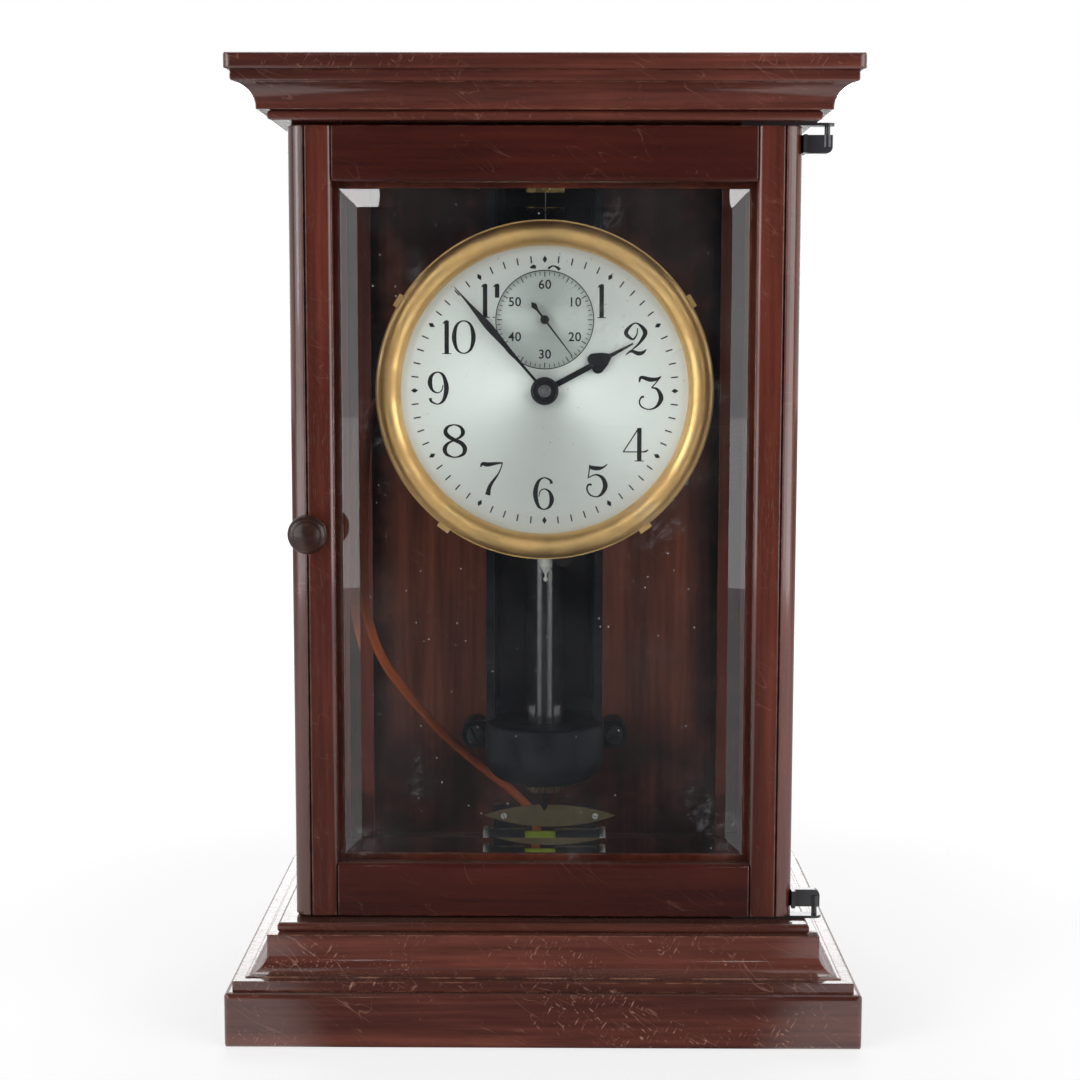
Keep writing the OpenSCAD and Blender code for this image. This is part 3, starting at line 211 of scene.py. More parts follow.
# %% World, white behind and dim in front
world = bpy.data.worlds.new("light_tent")
bpy.context.scene.world = world
world.use_nodes = True
bench["tree"] = world.node_tree
tent = world.node_tree.nodes["Background"]
ray = put("LightPath")
toward = split(put("TexCoord").outputs["Generated"])
dim_share = ramp(toward["Y"], 0.1, -0.25)
seen_light = mix(dim_share, (1, 1, 1), (0.03, 0.034, 0.045))
soft_light = mix(dim_share, (0.34, 0.34, 0.35), (0.18, 0.18, 0.19))
mirror_share = maths("MAXIMUM", ray.outputs["Is Glossy Ray"], ray.outputs["Is Transmission Ray"])
world_colour = mix(mirror_share, soft_light, seen_light)
world_colour = mix(ray.outputs["Is Camera Ray"], world_colour, (1, 1, 1))
join(world_colour, tent, "Color")
tent.inputs["Strength"].default_value = 1.0
print("world nodes:", len(world.node_tree.nodes))

# %% Floor that stays white and keeps the shadow
bpy.ops.mesh.primitive_plane_add(size=12, location=(0, 0, 0))
floor = bpy.context.object
floor.name = "studio_floor"
floor_white = (0.86, 0.86, 0.86)
floor_finish, floor_shader = start_finish("floor_white", floor_white, 0.9)
floor_ray = put("LightPath")
floor_glow = put("Emission", {"Color": rgb(1, 1, 1), "Strength": 1.3})
floor_spot = here()
near_glow, far_glow = 0.5, 0.45
shadow_begins, shadow_ends = 0.22, 0.75
from_clock = vector_maths("LENGTH", floor_spot).outputs["Value"]
glow = plus(times(ramp(from_clock, shadow_begins, shadow_ends), far_glow), near_glow)
glow = times(floor_ray.outputs["Is Camera Ray"], glow)
print("floor glows for the camera by", near_glow, "to", near_glow + far_glow)

# %% Floor in reflections, dim in a wedge before the clock and bright beside it
wedge_lean, wedge_inner, wedge_outer, beside_share = 0.27, 0.055, 0.085, 0.85
dim_floor, bright_floor = (0.1, 0.1, 0.11), (0.86, 0.86, 0.88)
floor_place = split(floor_spot)
before_clock = ramp(floor_place["Y"], 0.1, -0.15)
off_axis = plus(maths("ABSOLUTE", floor_place["X"]), times(floor_place["Y"], wedge_lean))
beside = ramp(off_axis, wedge_inner, wedge_outer)
mirrored = times(floor_ray.outputs["Is Glossy Ray"], before_clock)
join(mix(mirrored, floor_white, mix(beside, dim_floor, bright_floor)), floor_shader, "Base Color")
beside_glow = times(times(mirrored, beside), beside_share)
show(blend_shaders(maths("MAXIMUM", glow, beside_glow), floor_shader, floor_glow))
floor.data.materials.append(floor_finish)


# %% Softboxes
def softbox(name, place, aim, width, height, power):
    bpy.ops.object.light_add(type="AREA", location=place)
    lamp = bpy.context.object
    lamp.name = name
    lamp.data.shape = "RECTANGLE"
    lamp.data.size = width
    lamp.data.size_y = height
    lamp.data.energy = power
    lamp.rotation_euler = (Vector(aim) - Vector(place)).to_track_quat("-Z", "Y").to_euler()
    return lamp


case_middle = (0, -0.05, 0.25)
dial_height = (0, -0.05, 0.27)
softbox("softbox_left", (-1.25, -0.75, 0.42), case_middle, 0.8, 1.0, 6.5)
softbox("softbox_right", (1.25, -0.75, 0.42), case_middle, 0.8, 1.0, 9.5)
softbox("strip_left", (-0.85, -1.25, 0.48), dial_height, 0.6, 1.0, 4.6)
softbox("window_left", (-1.15, -0.95, 0.66), (0, -0.05, 0.28), 0.4, 0.7, 3.5)
softbox("strip_right", (0.85, -1.25, 0.48), dial_height, 0.6, 1.0, 4.8)
for name, across in (("high_left", -0.24), ("high_right", 0.25)):
    softbox(name, (across, -1.50, 0.98), case_middle, 0.06, 0.07, 0.13).data.shape = "ELLIPSE"
for side, place in (("left", -1), ("right", 1)):
    softbox("ledge_" + side, (0.335 * place, 1.35, 0.46), (0.13 * place, 0, 0.03), 0.25, 0.35, 0.95)
softbox("top_back", (0, 0.9, 1.5), (0, 0, 0.2), 1.2, 0.6, 8)

# %% [markdown]
# ## Mahogany
# The case is French-polished mahogany: a clear, glossy skin over red-brown wood with a fine
# ribbon figure and short dark pores that run with the grain. On the real case every moulding is
# cut with the grain along it, so posts and stiles need grain upwards, rails need it across, and
# the mouldings that go round the case need it along whichever side is seen. A pattern on object
# coordinates, squeezed along the run, gives that without an unwrap. Years of dusting have worn
# the edges lighter and left hair scratches, most of all on the base.

# %% Where the grain runs
def grain_place(run):
    squeeze = 22
    along = {"X": (squeeze, 1, 1), "Y": (1, squeeze, 1), "Z": (1, 1, squeeze)}
    if run != "round":
        return millimetres(along[run])
    facing = split(put("NewGeometry").outputs["True Normal"])
    sideways = maths("GREATER_THAN", maths("ABSOLUTE", facing["X"]), maths("ABSOLUTE", facing["Y"]))
    node = put("Mix", {0: sideways, 4: millimetres(along["X"]), 5: millimetres(along["Y"])}, data_type="VECTOR")
    return node.outputs[1]


def rounded_normal(radius_mm):
    return put("Bevel", {"Radius": radius_mm * MM}, samples=4).outputs["Normal"]


def worn_edges(radius_mm, patch):
    """1 along sharp outer edges, broken up by a patchy noise."""
    same = vector_maths("DOT_PRODUCT", rounded_normal(radius_mm), normal())
    edge = ramp(same.outputs["Value"], 0.995, 0.86)
    patches = ramp(noise(millimetres(), patch, 4), 0.42, 0.62)
    return times(edge, patches)


def hair_scratches(turned, scale, width, cover):
    """Thin curved lines: where a stretched noise passes through its middle value."""
    field = noise(millimetres((6, 6, 1), turned), scale, 1.5)
    off_line = maths("ABSOLUTE", maths("SUBTRACT", field, 0.5))
    line = ramp(off_line, width, width * 0.3)
    where = ramp(noise(millimetres(), 0.045, 3), 1 - cover, 1.12 - cover)
    return times(line, where)


# %% The wood itself
def flecks(cover):
    """Short thin nicks in clusters, leaning two ways, as knocks and dusters leave them."""
    leaning = noise(millimetres((1, 1, 7), (0, 0.5, 0)), 1.1, 2, 0.6)
    other_way = noise(millimetres((1, 1, 5), (0, -0.9, 0.2)), 0.9, 2, 0.6)
    nicks = maths("MAXIMUM", ramp(leaning, 0.62, 0.70), ramp(other_way, 0.64, 0.70))
    crowd = ramp(noise(millimetres((2, 2, 1)), 0.045, 4, 0.65), 1 - cover, 1.12 - cover)
    return times(nicks, crowd)


def dust_on_ledges():
    """1 on faces that look up, finely speckled and thicker in places, 0 elsewhere."""
    speckle = ramp(noise(millimetres(), 1.6, 3, 0.6), 0.3, 0.75)
    drifts = ramp(noise(millimetres(), 0.02, 4, 0.6), 0.2, 0.75)
    facing = ramp(split(normal())["Z"], 0.75, 0.98)
    return times(facing, times(speckle, drifts))


pore_colour = (0.012, 0.004, 0.003)
worn_colour = (0.30, 0.135, 0.085)
scratch_colour = (0.36, 0.19, 0.135)
dust_colour = (0.36, 0.31, 0.27)
# Near-black painted shade, mixed in wherever a shade mask is given.
painted_shade_colour = (0.006, 0.003, 0.0025)


def polished_wood(name, run, dark, light, gloss=0.9, wear=0.5, scratches=0.3, shine=0.08, scuffs=0.0,
                  dust=0.25, shaded=None, dull_top=0.0):
    material, shader = start_finish(name, light, 0.45, coat=gloss, coat_roughness=shine)
    shader.inputs["Coat IOR"].default_value = 1.6
    shader.inputs["Specular IOR Level"].default_value = 0.02
    place = grain_place(run)
    ribbon = noise(place, 0.05, 3, 0.55)
    streak = noise(place, 0.4, 4, 0.6)
    figure = plus(times(ribbon, 1.1), times(streak, 0.5))
    colour = mix(ramp(figure, 0.5, 1.15), dark, light)
    cloud = ramp(noise(millimetres(), 0.014, 3), 0.35, 0.65)
    colour = mix(times(cloud, 0.4), colour, dark)
    pores = ramp(noise(place, 2.4, 2, 0.6), 0.58, 0.70)
    colour = mix(times(pores, 0.3), colour, pore_colour)
    worn = times(worn_edges(1.0, 0.12), wear)
    colour = mix(worn, colour, worn_colour)
    cuts = plus(hair_scratches((0.2, 0.5, 0.3), 0.16, 0.006, 0.52),
                hair_scratches((1.1, -0.7, 0.9), 0.11, 0.005, 0.46), clamp=True)
    cuts = times(cuts, scratches)
    if scuffs:
        cuts = plus(cuts, times(flecks(0.5), scuffs), clamp=True)
    colour = mix(cuts, colour, scratch_colour)
    if dust:
        colour = mix(times(dust_on_ledges(), dust), colour, dust_colour)
    # Painted shade: where a shade mask is given, the colour darkens towards near-black.
    if shaded:
        colour = mix(times(shaded(), 0.85), colour, painted_shade_colour)
    join(colour, shader, "Base Color")
    rub = noise(millimetres(), 0.06, 4, 0.6)
    rough = plus(times(rub, 0.25), times(plus(worn, cuts), 0.3))
    join(plus(rough, 0.3), shader, "Roughness")
    skin = relief(noise(millimetres(), 0.05, 3), 0.03, rounded_normal(0.8))
    fine = maths("SUBTRACT", 1.0, plus(pores, cuts, clamp=True))
    bumped = relief(fine, 0.012, skin)
    join(bumped, shader, "Normal")
    join(bumped, shader, "Coat Normal")
    if dull_top:
        loss = times(ramp(split(normal())["Z"], 0.8, 0.98), dull_top)
        join(maths("SUBTRACT", gloss, loss), shader, "Coat Weight")
    return material


def painted_shade_on_back():
    """Painted shade on the back board: darker along its sides, at its foot and behind the dial, broken up by a cloudy
    noise.
    """
    spot = split(here())
    sides = ramp(maths("ABSOLUTE", spot["X"]), 0.062, 0.088)
    foot = ramp(spot["Z"], 0.125, 0.085)
    head = ramp(spot["Z"], 0.185, 0.27)
    most = maths("MAXIMUM", maths("MAXIMUM", sides, foot), head)
    cloudy = noise(millimetres(), 0.03, 4, 0.6)
    return times(most, ramp(cloudy, 0.15, 0.6), clamp=True)


wood_dark = (0.046, 0.0105, 0.007)
wood_light = (0.145, 0.033, 0.019)
finishes = {}
finishes["upright"] = polished_wood("mahogany_upright", "Z", wood_dark, wood_light, wear=0.45, scratches=0.12)
finishes["rail"] = polished_wood("mahogany_rail", "X", (0.027, 0.0055, 0.004), (0.072, 0.0135, 0.008),
                                 wear=0.3, scratches=0.1)
finishes["side_rail"] = polished_wood("mahogany_side_rail", "Y", wood_dark, wood_light, wear=0.35, scratches=0.12)
finishes["moulding"] = polished_wood("mahogany_moulding", "round", (0.045, 0.0125, 0.009), (0.155, 0.043, 0.028),
                                     wear=0.6, scratches=0.2, scuffs=0.15, dust=0.2)
finishes["cap"] = polished_wood("mahogany_cap", "X", (0.05, 0.013, 0.009), (0.19, 0.052, 0.033),
                                wear=0.7, scratches=0.25, scuffs=0.25, shine=0.13, dust=0.35, dull_top=0.75)
finishes["base"] = polished_wood("mahogany_base", "round", (0.05, 0.014, 0.010), (0.185, 0.055, 0.037),
                                 wear=0.85, scratches=0.35, scuffs=0.8, dust=0.22)
# The back board carries painted shade along its sides, at its foot and behind the dial.
finishes["back"] = polished_wood("mahogany_back", "Z", (0.062, 0.016, 0.010), (0.22, 0.062, 0.036),
                                 gloss=0.2, wear=0.0, scratches=0.15, shine=0.25, shaded=painted_shade_on_back)
finishes["plain"] = polished_wood("plain_wood", "X", (0.05, 0.02, 0.011), (0.11, 0.05, 0.028),
                                  gloss=0.0, wear=0.1, scratches=0.1)
finishes["knob"] = polished_wood("dark_knob", "Y", (0.018, 0.008, 0.006), (0.06, 0.024, 0.016),
                                 gloss=0.5, wear=0.2, scratches=0.2, shine=0.2)
print("woods:", [f.name for f in finishes.values()])

# %% [markdown]
# ## Glass
# The door glass is thick and its edge is ground to a wide bevel, which bends what stands behind
# it. Real refraction does this by itself. But a renderer can't find lamps through refracting
# glass, so the case would stay black inside: for shadow and diffuse rays the glass is simply
# clear. Old glass is never clean, so dust specks, wiped smears and hair scratches lie on it.

# %% Clear glass with dust
def clear_glass(name, dust):
    material, shader = start_finish(name, (0.93, 0.97, 0.96), 0.0)
    shader.inputs["Transmission Weight"].default_value = 1.0
    shader.inputs["IOR"].default_value = 1.5
    clear = put("BsdfTransparent", {"Color": rgb(0.94, 0.96, 0.955)})
    speck_share, smear_share, scratch_share, film_share = 0.45, 0.28, 0.1, 0.014
    path = put("LightPath")
    unbent = maths("MAXIMUM", path.outputs["Is Shadow Ray"], path.outputs["Is Diffuse Ray"])
    pane = blend_shaders(unbent, shader, clear)
    spots = put("TexVoronoi", {"Vector": millimetres(), "Scale": 0.16})
    near = ramp(spots.outputs["Distance"], 0.09, 0.03)
    chosen = ramp(noise(millimetres(), 0.05, 2), 0.47, 0.6)
    specks = times(times(near, chosen), speck_share)
    wiped = ramp(noise(millimetres(), 0.022, 2), 0.62, 0.74)
    smear = ramp(noise(millimetres((1, 1, 2), (0, 0.8, 0)), 0.35, 5, 0.7), 0.45, 0.8)
    specks = plus(specks, times(times(wiped, smear), smear_share))
    cuts = times(hair_scratches((0.4, 0.9, 0.2), 0.14, 0.003, 0.4), scratch_share)
    film = times(ramp(noise(millimetres(), 0.02, 5), 0.4, 0.75), film_share)
    dirt = times(plus(plus(specks, cuts), film, clamp=True), dust)
    grime = put("BsdfDiffuse", {"Color": rgb(0.55, 0.55, 0.56)})
    show(blend_shaders(dirt, pane, grime))
    return material


finishes["door_glass"] = clear_glass("bevelled_plate_glass", 0.8)
finishes["side_glass"] = clear_glass("side_glass", 0.3)
print("glass:", finishes["door_glass"].name)

# %% [markdown]
# ## Metals
# The movement mixes finishes that catch light in different ways: a gold-lacquered bezel, plain
# and tarnished brass, black stove enamel on the cast column, nickel, and a silvered dial that was
# brushed in circles. Brushed grooves spread a highlight across their run, which turns it into
# two bright fans. Anisotropy with a tangent that goes round the dial does the same.

# %% Plain metals
def faded(colour, share):
    return tuple(c * share for c in colour)


def metal(name, colour, rough, grime, spots, tint=None, metallic=1.0):
    material, shader = start_finish(name, colour, rough, metallic)
    place = millimetres()
    cloud = ramp(noise(place, spots, 5, 0.6), 0.35, 0.7)
    stained = mix(times(cloud, grime), colour, tint or faded(colour, 0.35))
    join(stained, shader, "Base Color")
    hairs = noise(millimetres((8, 8, 1)), 3, 2)
    uneven = plus(times(cloud, 0.18), times(hairs, rough * 0.5))
    join(plus(uneven, rough * 0.6), shader, "Roughness")
    join(relief(hairs, 0.01), shader, "Normal")
    return material


def enamel(name, colour, rough, coat=0.4, grain=0.5, depth=0.03, mirror=0.25, patchy=0.2):
    material, shader = start_finish(name, colour, rough, coat=coat, coat_roughness=0.15)
    shader.inputs["Specular IOR Level"].default_value = mirror
    place = millimetres()
    dusty = ramp(noise(place, 0.05, 5, 0.6), 0.45, 0.75)
    join(mix(times(dusty, 0.14), colour, (0.055, 0.052, 0.05)), shader, "Base Color")
    join(plus(times(dusty, patchy), rough), shader, "Roughness")
    bumps = relief(noise(place, grain, 3), depth)
    join(bumps, shader, "Normal")
    join(bumps, shader, "Coat Normal")
    return material


finishes["brass_gold"] = metal("gilt_brass", (0.78, 0.49, 0.205), 0.46, 0.3, 0.07, (0.48, 0.25, 0.09))
finishes["bright_brass"] = metal("bright_brass", (0.9, 0.66, 0.26), 0.22, 0.1, 0.3)
finishes["brass_plain"] = metal("plain_brass", (0.74, 0.52, 0.22), 0.34, 0.3, 0.2)
finishes["brass_aged"] = metal("aged_brass", (0.24, 0.18, 0.10), 0.55, 0.5, 0.05, (0.10, 0.07, 0.04))
finishes["brass_dark"] = metal("darkened_brass", (0.09, 0.06, 0.035), 0.5, 0.5, 0.1, (0.03, 0.02, 0.014))
finishes["nickel"] = metal("dull_nickel", (0.62, 0.60, 0.56), 0.6, 0.2, 0.3, metallic=0.25)
finishes["bright_steel"] = metal("bright_steel", (0.55, 0.55, 0.56), 0.32, 0.35, 0.25)
finishes["plate_steel"] = metal("plate_steel", (0.22, 0.22, 0.23), 0.4, 0.5, 0.25)
finishes["black_steel"] = enamel("blackened_steel", (0.02, 0.02, 0.022), 0.3, 0.5, 0.8, 0.02)
finishes["iron_black"] = enamel("cast_iron_enamel", (0.006, 0.007, 0.011), 0.4, 0.06, 0.5, 0.012, 0.08)
finishes["steel_black"] = enamel("smooth_black_enamel", (0.008, 0.009, 0.012), 0.16, 0.9, 0.1, 0.0, 0.5, 0.02)
finishes["ebonite"] = enamel("ebonite", (0.012, 0.011, 0.011), 0.28, 0.3, 0.9, 0.01)
finishes["hand_black"] = enamel("hand_black", (0.01, 0.01, 0.012), 0.32, 0.2, 2.0, 0.003)
finishes["ink"] = enamel("dial_ink", (0.008, 0.008, 0.009), 0.5, 0.0, 3.0, 0.002)
print("metals ready:", len(finishes))


# %% Silvered dial, brushed in circles
def silvered(name, colour, centre_z, rough, brushed):
    material, shader = start_finish(name, colour, rough, 0.66)
    shader.inputs["Anisotropic"].default_value = brushed
    shader.inputs["Anisotropic Rotation"].default_value = 0.25
    tangent = put("Tangent", direction_type="RADIAL", axis="Y")
    join(tangent.outputs[0], shader, "Tangent")
    from_centre = vector_maths("SUBTRACT", here(), (0, 0, centre_z)).outputs[0]
    flat = vector_maths("MULTIPLY", from_centre, (1, 0, 1)).outputs[0]
    radius = vector_maths("LENGTH", flat).outputs["Value"]
    ring_place = put("CombineXYZ", {0: times(radius, 1 / MM)}).outputs[0]
    rings = noise(ring_place, 3.5, 3, 0.6)
    mottled = noise(millimetres(), 0.35, 5, 0.65)
    spotty = ramp(mottled, 0.62, 0.78)
    colour_here = mix(times(spotty, 0.35), colour, (0.42, 0.42, 0.38))
    colour_here = mix(times(rings, 0.12), colour_here, (0.5, 0.5, 0.48))
    join(colour_here, shader, "Base Color")
    join(plus(times(mottled, 0.12), rough - 0.06), shader, "Roughness")
    return material


dial_centre_z = (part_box("dial_plate")[0].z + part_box("dial_plate")[1].z) / 2
seconds_centre_z = (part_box("seconds_dial")[0].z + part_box("seconds_dial")[1].z) / 2
finishes["silvered"] = silvered("silvered_dial", (0.84, 0.85, 0.82), dial_centre_z, 0.5, 0.8)
finishes["silvered_dull"] = silvered("silvered_seconds_dial", (0.50, 0.52, 0.50), seconds_centre_z, 0.6, 0.6)
print("dial centre at z", round(dial_centre_z, 4), "seconds at", round(seconds_centre_z, 4))


# %% Silk on the coils, vial and battery paper
def wound_silk(name, colour):
    material, shader = start_finish(name, colour, 0.6)
    shader.inputs["Sheen Weight"].default_value = 0.3
    feeds = {"Vector": millimetres(), "Scale": 0.7, "Distortion": 0.6, "Detail": 2.0}
    turns = put("TexWave", feeds, bands_direction="Z")
    join(mix(turns.outputs["Fac"], faded(colour, 0.45), colour), shader, "Base Color")
    join(relief(turns.outputs["Fac"], 0.1), shader, "Normal")
    return material


finishes["coil_silk"] = wound_silk("coil_silk", (0.20, 0.03, 0.018))
finishes["vial"], vial_shader = start_finish("vial_spirit", (0.42, 0.55, 0.02), 0.06)
vial_shader.inputs["Transmission Weight"].default_value = 0.35
vial_shader.inputs["IOR"].default_value = 1.4
vial_cloud = noise(millimetres(), 0.25, 3)
join(mix(vial_cloud, (0.30, 0.42, 0.015), (0.52, 0.60, 0.05)), vial_shader, "Base Color")
finishes["battery"] = enamel("battery_paper", (0.035, 0.055, 0.10), 0.6, 0.0, 0.4, 0.02)

# %% [markdown]
# ## Giving the CAD pieces their finish
# Every CAD node keeps its shape and place. Its material slot is filled with the finish that the
# real piece has. A table from finish to nodes keeps the whole clock in view at a glance.

# %% Finish of every CAD node
pieces_of = {
    "base": "base_slab base_cove", "moulding": "floor_board cornice_moulding", "cap": "top_board cornice_cap",
    "upright": "corner_posts door_stile_left door_stile_right glazing_beads",
    "rail": "door_rail_top door_rail_bottom", "side_rail": "side_rails", "back": "back_board",
    "plain": "base_cover", "knob": "door_knob", "battery": "dry_battery",
    "door_glass": "door_glass", "side_glass": "side_glass_left side_glass_right",
    "black_steel": "hinge_plates hinge_straps fixing_screws", "iron_black": "column bob",
    "steel_black": "level_body pendulum_tube", "plate_steel": "magnet_yoke armature",
    "bright_steel": "catch_bolt suspension_spring gathering_pawl backstop_click",
    "brass_plain": "strike_plate catch_barrel front_plate back_plate plate_pillars count_wheel "
                   "intermediate_wheel centre_wheel minute_wheel hour_wheel gravity_arm",
    "brass_gold": "bezel bezel_clips", "bright_brass": "suspension_block", "brass_aged": "beat_plate",
    "brass_dark": "rating_nut", "nickel": "beat_index", "vial": "level_vial", "coil_silk": "magnet_coils",
    "silvered": "dial_plate", "silvered_dull": "seconds_dial", "ebonite": "terminal_block lead",
    "hand_black": "seconds_hand minute_hand hour_hand",
}
finish_of = {piece: finish for finish, pieces in pieces_of.items() for piece in pieces.split()}
for name, node in nodes.items():
    for place in node.material_slots:
        place.material = finishes[finish_of[name]]
print("dressed nodes:", len(finish_of), "left over:", sorted(set(nodes) - set(finish_of)))

# %% [markdown]
# ## Ink on the dial
# The numerals are old-style figures with thick and thin strokes. Type from a font would be a
# plain sans, so each figure is drawn as pen strokes instead: a middle line with the pen's half
# width at each point. Strokes that cross are merged in the plane, which gives one clean outline,
# and then get a hair of thickness, as printed ink has.

# %% Pen strokes as flat outlines
def smooth_line(points, closed, steps=7):
    """A curve through the points, each (x, z, half width)."""
    count = len(points)
    line = []
    for i in range(count if closed else count - 1):
        pick = (lambda k: points[k % count]) if closed else (lambda k: points[min(max(k, 0), count - 1)])
        a, b, c, d = (Vector(pick(i + k)) for k in (-1, 0, 1, 2))
        for step in range(steps):
            t = step / steps
            line.append(0.5 * (2 * b + (c - a) * t + (2 * a - 5 * b + 4 * c - d) * t * t
                               + (3 * b - a - 3 * c + d) * t ** 3))
    if not closed:
        line.append(Vector(points[-1]))
    return line


def pen_stroke(points, closed=False):
    """The stroke as a row of four-cornered patches, each with its corners anticlockwise."""
    line = smooth_line(points, closed)
    count = len(line)
    sides = []
    for i, p in enumerate(line):
        before = line[i - 1] if closed else line[max(i - 1, 0)]
        after = line[(i + 1) % count] if closed else line[min(i + 1, count - 1)]
        run = Vector((after.x - before.x, after.y - before.y)).normalized()
        across = Vector((-run.y, run.x)) * max(p.z, 0.12)
        middle = Vector((p.x, p.y))
        sides.append((middle + across, middle - across))
    pairs = list(zip(sides, sides[1:] + sides[:1])) if closed else list(zip(sides, sides[1:]))
    return [[a[1], b[1], b[0], a[0]] for a, b in pairs]


INK_GAP = 0.01
INK_THICK = 0.07


def ink_piece(name, patches, face_y_mm, thick_mm=INK_THICK):
    """Merges overlapping patches into one flat shape and gives it thickness towards the front."""
    corners, faces = [], []
    for patch in patches:
        faces.append(list(range(len(corners), len(corners) + len(patch))))
        corners += patch
    flat = delaunay_2d_cdt(corners, [], faces, 1, 1e-4)
    inside = [face for face, owners in zip(flat[2], flat[5]) if owners]
    mesh = bpy.data.meshes.new(name)
    mesh.from_pydata([(p.x * MM, face_y_mm * MM, p.y * MM) for p in flat[0]], [], inside)
    piece = bpy.data.objects.new(name, mesh)
    bpy.context.scene.collection.objects.link(piece)
    only(piece)
    start_editing()
    bpy.ops.mesh.delete_loose()
    bpy.ops.mesh.select_all(action="SELECT")
    bpy.ops.mesh.extrude_region_move(TRANSFORM_OT_translate={"value": (0, -thick_mm * MM, 0)})
    end_editing()
    return piece


def only(piece):
    bpy.ops.object.select_all(action="DESELECT")
    piece.select_set(True)
    bpy.context.view_layer.objects.active = piece


def twin(piece):
    """A copy with its own mesh."""
    copy = piece.copy()
    copy.data = piece.data.copy()
    bpy.context.scene.collection.objects.link(copy)
    return copy


def joined(pieces, name):
    bpy.ops.object.select_all(action="DESELECT")
    for piece in pieces:
        piece.select_set(True)
    bpy.context.view_layer.objects.active = pieces[0]
    bpy.ops.object.join()
    bpy.context.object.name = name
    return bpy.context.object


def start_editing():
    bpy.ops.object.mode_set(mode="EDIT")
    bpy.ops.mesh.select_all(action="SELECT")


def end_editing():
    """Turns every face outward and leaves edit mode."""
    bpy.ops.mesh.select_all(action="SELECT")
    bpy.ops.mesh.normals_make_consistent(inside=False)
    bpy.ops.object.mode_set(mode="OBJECT")


def dress(piece, finish, body):
    piece.data.materials.clear()
    piece.data.materials.append(finishes[finish])
    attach(piece, body)
    return piece


def dress_as_ink(piece):
    return dress(piece, "ink", "case")


# %% The figures, in mm from the middle of each
figures = {
    "1": [([(0.1, 7.3, 1.0), (0.1, -7.3, 1.0)], False), ([(-1.9, -7.42, 0.2), (2.1, -7.42, 0.2)], False),
          ([(-1.6, 6.1, 0.2), (-0.6, 6.75, 0.5), (0.6, 7.2, 0.5)], False)],
    "0": [([(0, 7.25, 0.28), (-3.1, 5.4, 0.6), (-4.35, 0, 1.05), (-3.1, -5.4, 0.6), (0, -7.25, 0.28),
            (3.1, -5.4, 0.6), (4.35, 0, 1.05), (3.1, 5.4, 0.6)], True)],
    "2": [([(0.94, 4.78, 0.22), (0.63, 1.94, 0.3), (-1.27, -0.13, 0.5), (-4.22, 2.97, 0.95), (0.02, 7.1, 0.3),
            (4.4, 3.23, 1.05), (2.18, -1.42, 0.6), (-1.02, -4.51, 0.3), (-4.01, -6.99, 0.22)], False),
          ([(-4.22, -7.14, 0.2), (-1.79, -5.49, 0.6), (1.31, -6.47, 0.95), (3.37, -6.11, 0.75),
            (5.02, -4.67, 0.2)], False)],
    "3": [([(-5.44, 4.86, 0.35), (-4.59, 7.0, 0.7), (-0.67, 6.02, 1.0), (2.47, 6.29, 0.7), (4.41, 7.51, 0.2)], False),
          ([(4.36, 7.42, 0.22), (2.25, 4.86, 0.28), (0.04, 2.34, 0.25)], False),
          ([(0.04, 2.34, 0.25), (2.7, 1.62, 0.6), (4.41, -2.25, 1.1), (2.47, -6.02, 0.6), (-0.9, -7.4, 0.28),
            (-4.3, -6.25, 0.35), (-5.33, -3.98, 0.35), (-4.5, -2.0, 0.4), (-3.3, -1.7, 0.55)], False)],
    "4": [([(1.84, 7.55, 1.0), (1.84, -7.4, 1.0)], False), ([(1.5, 7.4, 0.28), (-5.4, -3.28, 0.28)], False),
          ([(-5.5, -3.28, 0.27), (2.34, -3.28, 0.27), (4.68, -3.1, 0.4), (5.75, -2.34, 0.25)], False),
          ([(-0.27, -7.42, 0.2), (3.95, -7.42, 0.2)], False)],
    "5": [([(-3.28, 7.24, 0.2), (-2.56, 6.07, 0.85), (0.31, 5.62, 0.95), (2.79, 6.07, 0.5), (4.72, 7.51, 0.2)], False),
          ([(-3.15, 6.83, 0.3), (-3.91, 1.12, 0.26)], False),
          ([(-4.0, 1.26, 0.24), (-0.58, 2.7, 0.35), (2.56, 1.3, 0.8), (3.87, -2.38, 1.1), (2.34, -5.89, 0.7),
            (-0.13, -7.28, 0.3), (-3.06, -6.34, 0.35), (-4.44, -3.75, 0.4), (-3.73, -1.78, 0.42),
            (-2.3, -1.93, 0.55)], False)],
    "6": [([(3.6, 4.5, 0.7), (3.0, 6.1, 0.5), (0.09, 7.19, 0.3), (-2.52, 5.17, 0.75), (-3.73, -0.04, 1.1),
            (-2.43, -5.44, 0.7), (0.09, -7.15, 0.3), (2.7, -5.89, 0.65), (3.73, -2.65, 1.05), (2.7, 0.76, 0.6),
            (0.36, 2.11, 0.28), (-1.53, 1.03, 0.25), (-2.16, -1.39, 0.2)], False)],
    "7": [([(-4.99, 5.26, 0.25), (-4.2, 6.75, 0.75), (-1.93, 6.47, 1.0), (1.66, 6.92, 0.65),
            (4.99, 7.24, 0.3)], False),
          ([(4.9, 7.1, 0.25), (3.1, 2.43, 0.35), (-0.67, -3.06, 0.8), (-1.84, -7.4, 1.2)], False)],
    "8": [([(-0.25, 7.27, 0.3), (-3.14, 6.34, 0.6), (-4.22, 4.02, 0.95), (-2.72, 1.95, 0.95), (0.01, 0.4, 0.85),
            (3.11, -1.14, 0.95), (4.56, -3.52, 1.05), (3.63, -6.1, 0.7), (0.01, -7.39, 0.3), (-3.6, -6.1, 0.7),
            (-4.53, -3.52, 1.0), (-3.08, -1.14, 0.6), (0.01, 0.45, 0.4), (2.59, 1.85, 0.6), (3.73, 3.91, 0.95),
            (2.59, 6.29, 0.6)], True)],
}
figures["9"] = [([(-x, -z, half) for x, z, half in points], closed) for points, closed in figures["6"]]

